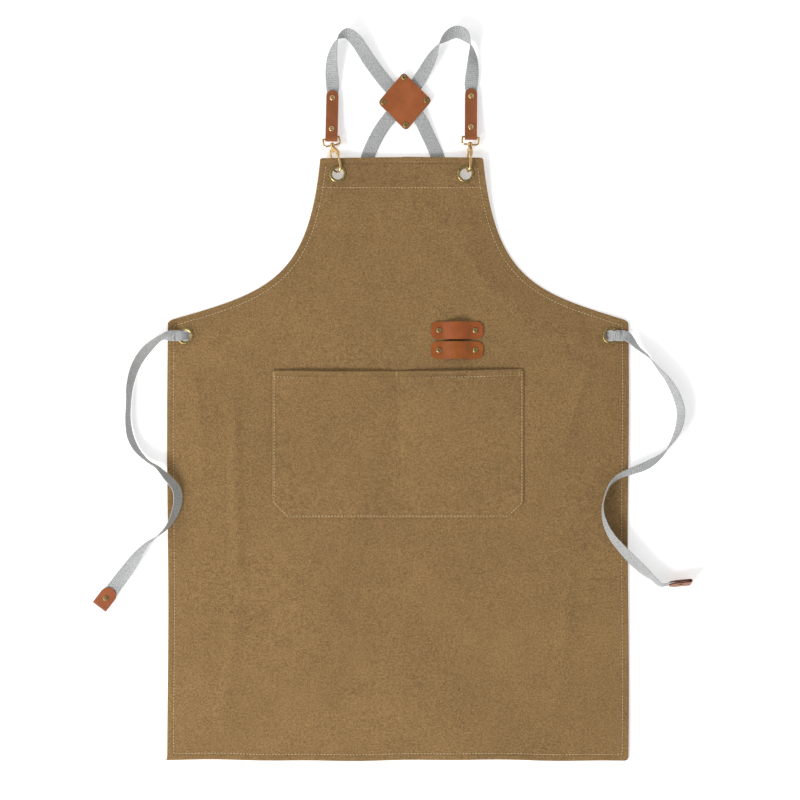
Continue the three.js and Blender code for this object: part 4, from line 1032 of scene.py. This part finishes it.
class APRON_OT_leather(bpy.types.Operator):
    """Finish the cross patch, the tool loops and the strap tabs"""
    bl_idname = "apron.leather"
    bl_label = "Leather"

    def execute(self, context):
        leather_piece("cross_patch_front", PLAIN)
        leather_piece("cross_patch_back", (0.8, 0.8, 0.8))
        leather_piece("tool_loop_upper", (0.92, 0.80, 0.60))
        leather_piece("tool_loop_lower", (0.92, 0.86, 0.5))
        for side in SIDES:
            leather_piece(f"strap_tab_{side}", (0.88, 0.96, 1.08))
        return {"FINISHED"}


# ---- Brass ----
DIMPLE = 0.00045  # m that a rivet's cap is pressed in at its middle
CAP = 0.0012  # m that counts as the cap, down from its top


def rivet_axis(mesh):
    """The axis of a turned piece, pointing from its base to its cap, and the top of the cap."""
    points = np.array([v.co[:] for v in mesh.vertices])
    middle = points.mean(axis=0)
    values, vectors = np.linalg.eigh(np.cov((points - middle).T))
    lone = int(np.argmax([min(abs(values[i] - values[j]) for j in range(3) if j != i) for i in range(3)]))
    axis = vectors[:, lone]
    heights = (points - middle) @ axis
    top, bottom = points[heights > heights.max() - 1e-5], points[heights < heights.min() + 1e-5]
    if len(top) > len(bottom):
        axis, heights, top = -axis, -heights, bottom
    return axis, top.mean(axis=0)


def quads_of(node):
    """A copy of a turned CAD piece with its triangles joined to quads."""
    piece = copy_of(node, f"metal_{node}")
    edited(piece, lambda: bpy.ops.mesh.tris_convert_to_quads(
        face_threshold=math.radians(40), shape_threshold=math.radians(60)))
    return piece


def rivet_piece(node, slot):
    """A rivet from its CAD solid: rounded by subdivision, with a shallow dimple pressed in its cap."""
    piece = quads_of(node)
    axis, top = rivet_axis(piece.data)
    applied(piece, "SUBSURF", levels=2, render_levels=2)
    mesh = piece.data
    points = np.array([v.co[:] for v in mesh.vertices])
    rel = points - top
    rise = rel @ axis
    radial = np.linalg.norm(rel - rise[:, None] * axis, axis=1)
    press = DIMPLE * (1 - smooth_step(radial, 0.0004, 0.0019)) * (rise > -CAP)
    points = points - press[:, None] * axis
    mesh.vertices.foreach_set("co", points.astype(np.float32).ravel())
    mesh.update()
    mesh.shade_smooth()
    return settled(piece, slot, node)


def turned_piece(node):
    """An eyelet or washer, rounded by subdivision."""
    piece = quads_of(node)
    applied(piece, "BEVEL", width=0.00018, segments=2, limit_method="ANGLE", angle_limit=math.radians(50))
    applied(piece, "SUBSURF", levels=1, render_levels=1)
    smoothed(piece, 60)
    return settled(piece, "antique_brass", node)


def cast_piece(node, body, voxel=0.00035, rounds=4, drawn_in=0.0):
    """A cast brass piece: its solid remeshed finely, its edges rubbed round, its skin drawn in."""
    piece = copy_of(node, f"metal_{node}")
    applied(piece, "REMESH", mode="VOXEL", voxel_size=voxel)
    applied(piece, "SMOOTH", factor=0.5, iterations=rounds)
    if drawn_in:
        applied(piece, "DISPLACE", strength=-drawn_in, mid_level=0.0)
    piece.data.shade_smooth()
    return settled(piece, "brass", node, body=body)


class APRON_OT_brass(bpy.types.Operator):
    """Set the eyelets and rivets and finish the snap hooks"""
    bl_idname = "apron.brass"
    bl_label = "Brass"

    def execute(self, context):
        for node in sorted(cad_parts):
            if "eyelet" in node:
                turned_piece(node)
            elif "strap_tab" in node and "rivet" in node:
                rivet_piece(node, "brass")
            elif "rivet" in node and "tie_tip" not in node:
                rivet_piece(node, "antique_brass")
        for side in SIDES:
            cast_piece(f"strap_loop_{side}", "apron")
            # Rubbing round fills the inner bends a hair, which would touch the eyelet when the hook turns.
            cast_piece(f"hook_body_{side}", f"hook_{side}", rounds=7, drawn_in=0.00006)
            cast_piece(f"gate_{side}", f"hook_gate_{side}", 0.00025, 2)
            for part in ("gate_pin", "gate_spring"):
                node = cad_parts[f"{part}_{side}"]
                node.data.materials.clear()
                node.data.materials.append(once("brass", brass_finish))
        return {"FINISHED"}


# ---- Stage ----
SENSOR = 36.0
VIEW_WIDTH = 1.192  # m seen from side to side at the floor
CAMERA = (0.003, -0.0091, 3.0)
# Each lamp's place, size in m and power in W.
LAMPS = (("key", (-2.1, -2.1, 2.15), 1.2, 92.0), ("fill", (1.9, 1.3, 2.0), 2.2, 3.0),
         ("left", (-2.2, 0.6, 1.9), 2.0, 13.0))


class APRON_OT_stage(bpy.types.Operator):
    """Set the pale floor, the soft lights and the camera straight above"""
    bl_idname = "apron.stage"
    bl_label = "Stage"

    def execute(self, context):
        bpy.ops.object.select_all(action="DESELECT")
        bpy.ops.mesh.primitive_plane_add(size=14, location=(0, 0, -0.0003))
        floor = context.object
        floor.name = "floor"
        floor.data.materials.append(once("floor", floor_finish))
        for name, place, size, power in LAMPS:
            data = bpy.data.lights.new(name, "AREA")
            data.shape = "DISK"
            data.size = size
            data.energy = power
            lamp = linked(name, data)
            lamp.location = place
            lamp.rotation_euler = (-Vector(place)).to_track_quat("-Z", "Y").to_euler()
        world = bpy.data.worlds.new("studio")
        world.use_nodes = True
        self.sky(world.node_tree)
        context.scene.world = world
        context.scene.view_settings.view_transform = "Standard"
        camera = linked("camera", bpy.data.cameras.new("camera"))
        camera.location = CAMERA
        camera.data.sensor_width = SENSOR
        camera.data.lens = SENSOR * CAMERA[2] / VIEW_WIDTH
        context.scene.camera = camera
        return {"FINISHED"}

    def sky(self, tree):
        """An even pale room, darker straight overhead where the camera hangs."""
        back = tree.nodes["Background"]
        place = tree.nodes.new("ShaderNodeTexCoord")
        parts = tree.nodes.new("ShaderNodeSeparateXYZ")
        level = tree.nodes.new("ShaderNodeMapRange")
        for index, value in ((1, 0.80), (2, 0.97), (3, 0.66), (4, 0.10)):
            level.inputs[index].default_value = value
        tree.links.new(place.outputs["Generated"], parts.inputs[0])
        tree.links.new(parts.outputs["Z"], level.inputs[0])
        tree.links.new(level.outputs[0], back.inputs["Strength"])
        back.inputs["Color"].default_value = (1.0, 1.0, 1.0, 1.0)


class APRON_PT_panel(bpy.types.Panel):
    """Sidebar panel with the apron's settings and steps"""
    bl_idname = "APRON_PT_panel"
    bl_label = "Apron"
    bl_space_type = "VIEW_3D"
    bl_region_type = "UI"
    bl_category = "Apron"

    def draw(self, context):
        for group in (context.scene.apron_finishes, context.scene.apron_sizes):
            box = self.layout.box()
            for name in group.__annotations__:
                box.prop(group, name)
        for operator in STEPS:
            self.layout.operator(operator.bl_idname)


STEPS = (APRON_OT_stage, APRON_OT_ties, APRON_OT_panel, APRON_OT_pocket, APRON_OT_straps,
         APRON_OT_leather, APRON_OT_brass)
CLASSES = (ApronFinishes, ApronSizes, *STEPS, APRON_PT_panel)


def register():
    for cls in CLASSES:
        bpy.utils.register_class(cls)
    bpy.types.Scene.apron_finishes = bpy.props.PointerProperty(type=ApronFinishes)
    bpy.types.Scene.apron_sizes = bpy.props.PointerProperty(type=ApronSizes)


def unregister():
    del bpy.types.Scene.apron_sizes
    del bpy.types.Scene.apron_finishes
    for cls in reversed(CLASSES):
        bpy.utils.unregister_class(cls)


def main():
    register()
    for operator in STEPS:
        group, action = operator.bl_idname.split(".")
        getattr(getattr(bpy.ops, group), action)()


if __name__ == "__main__":
    main()
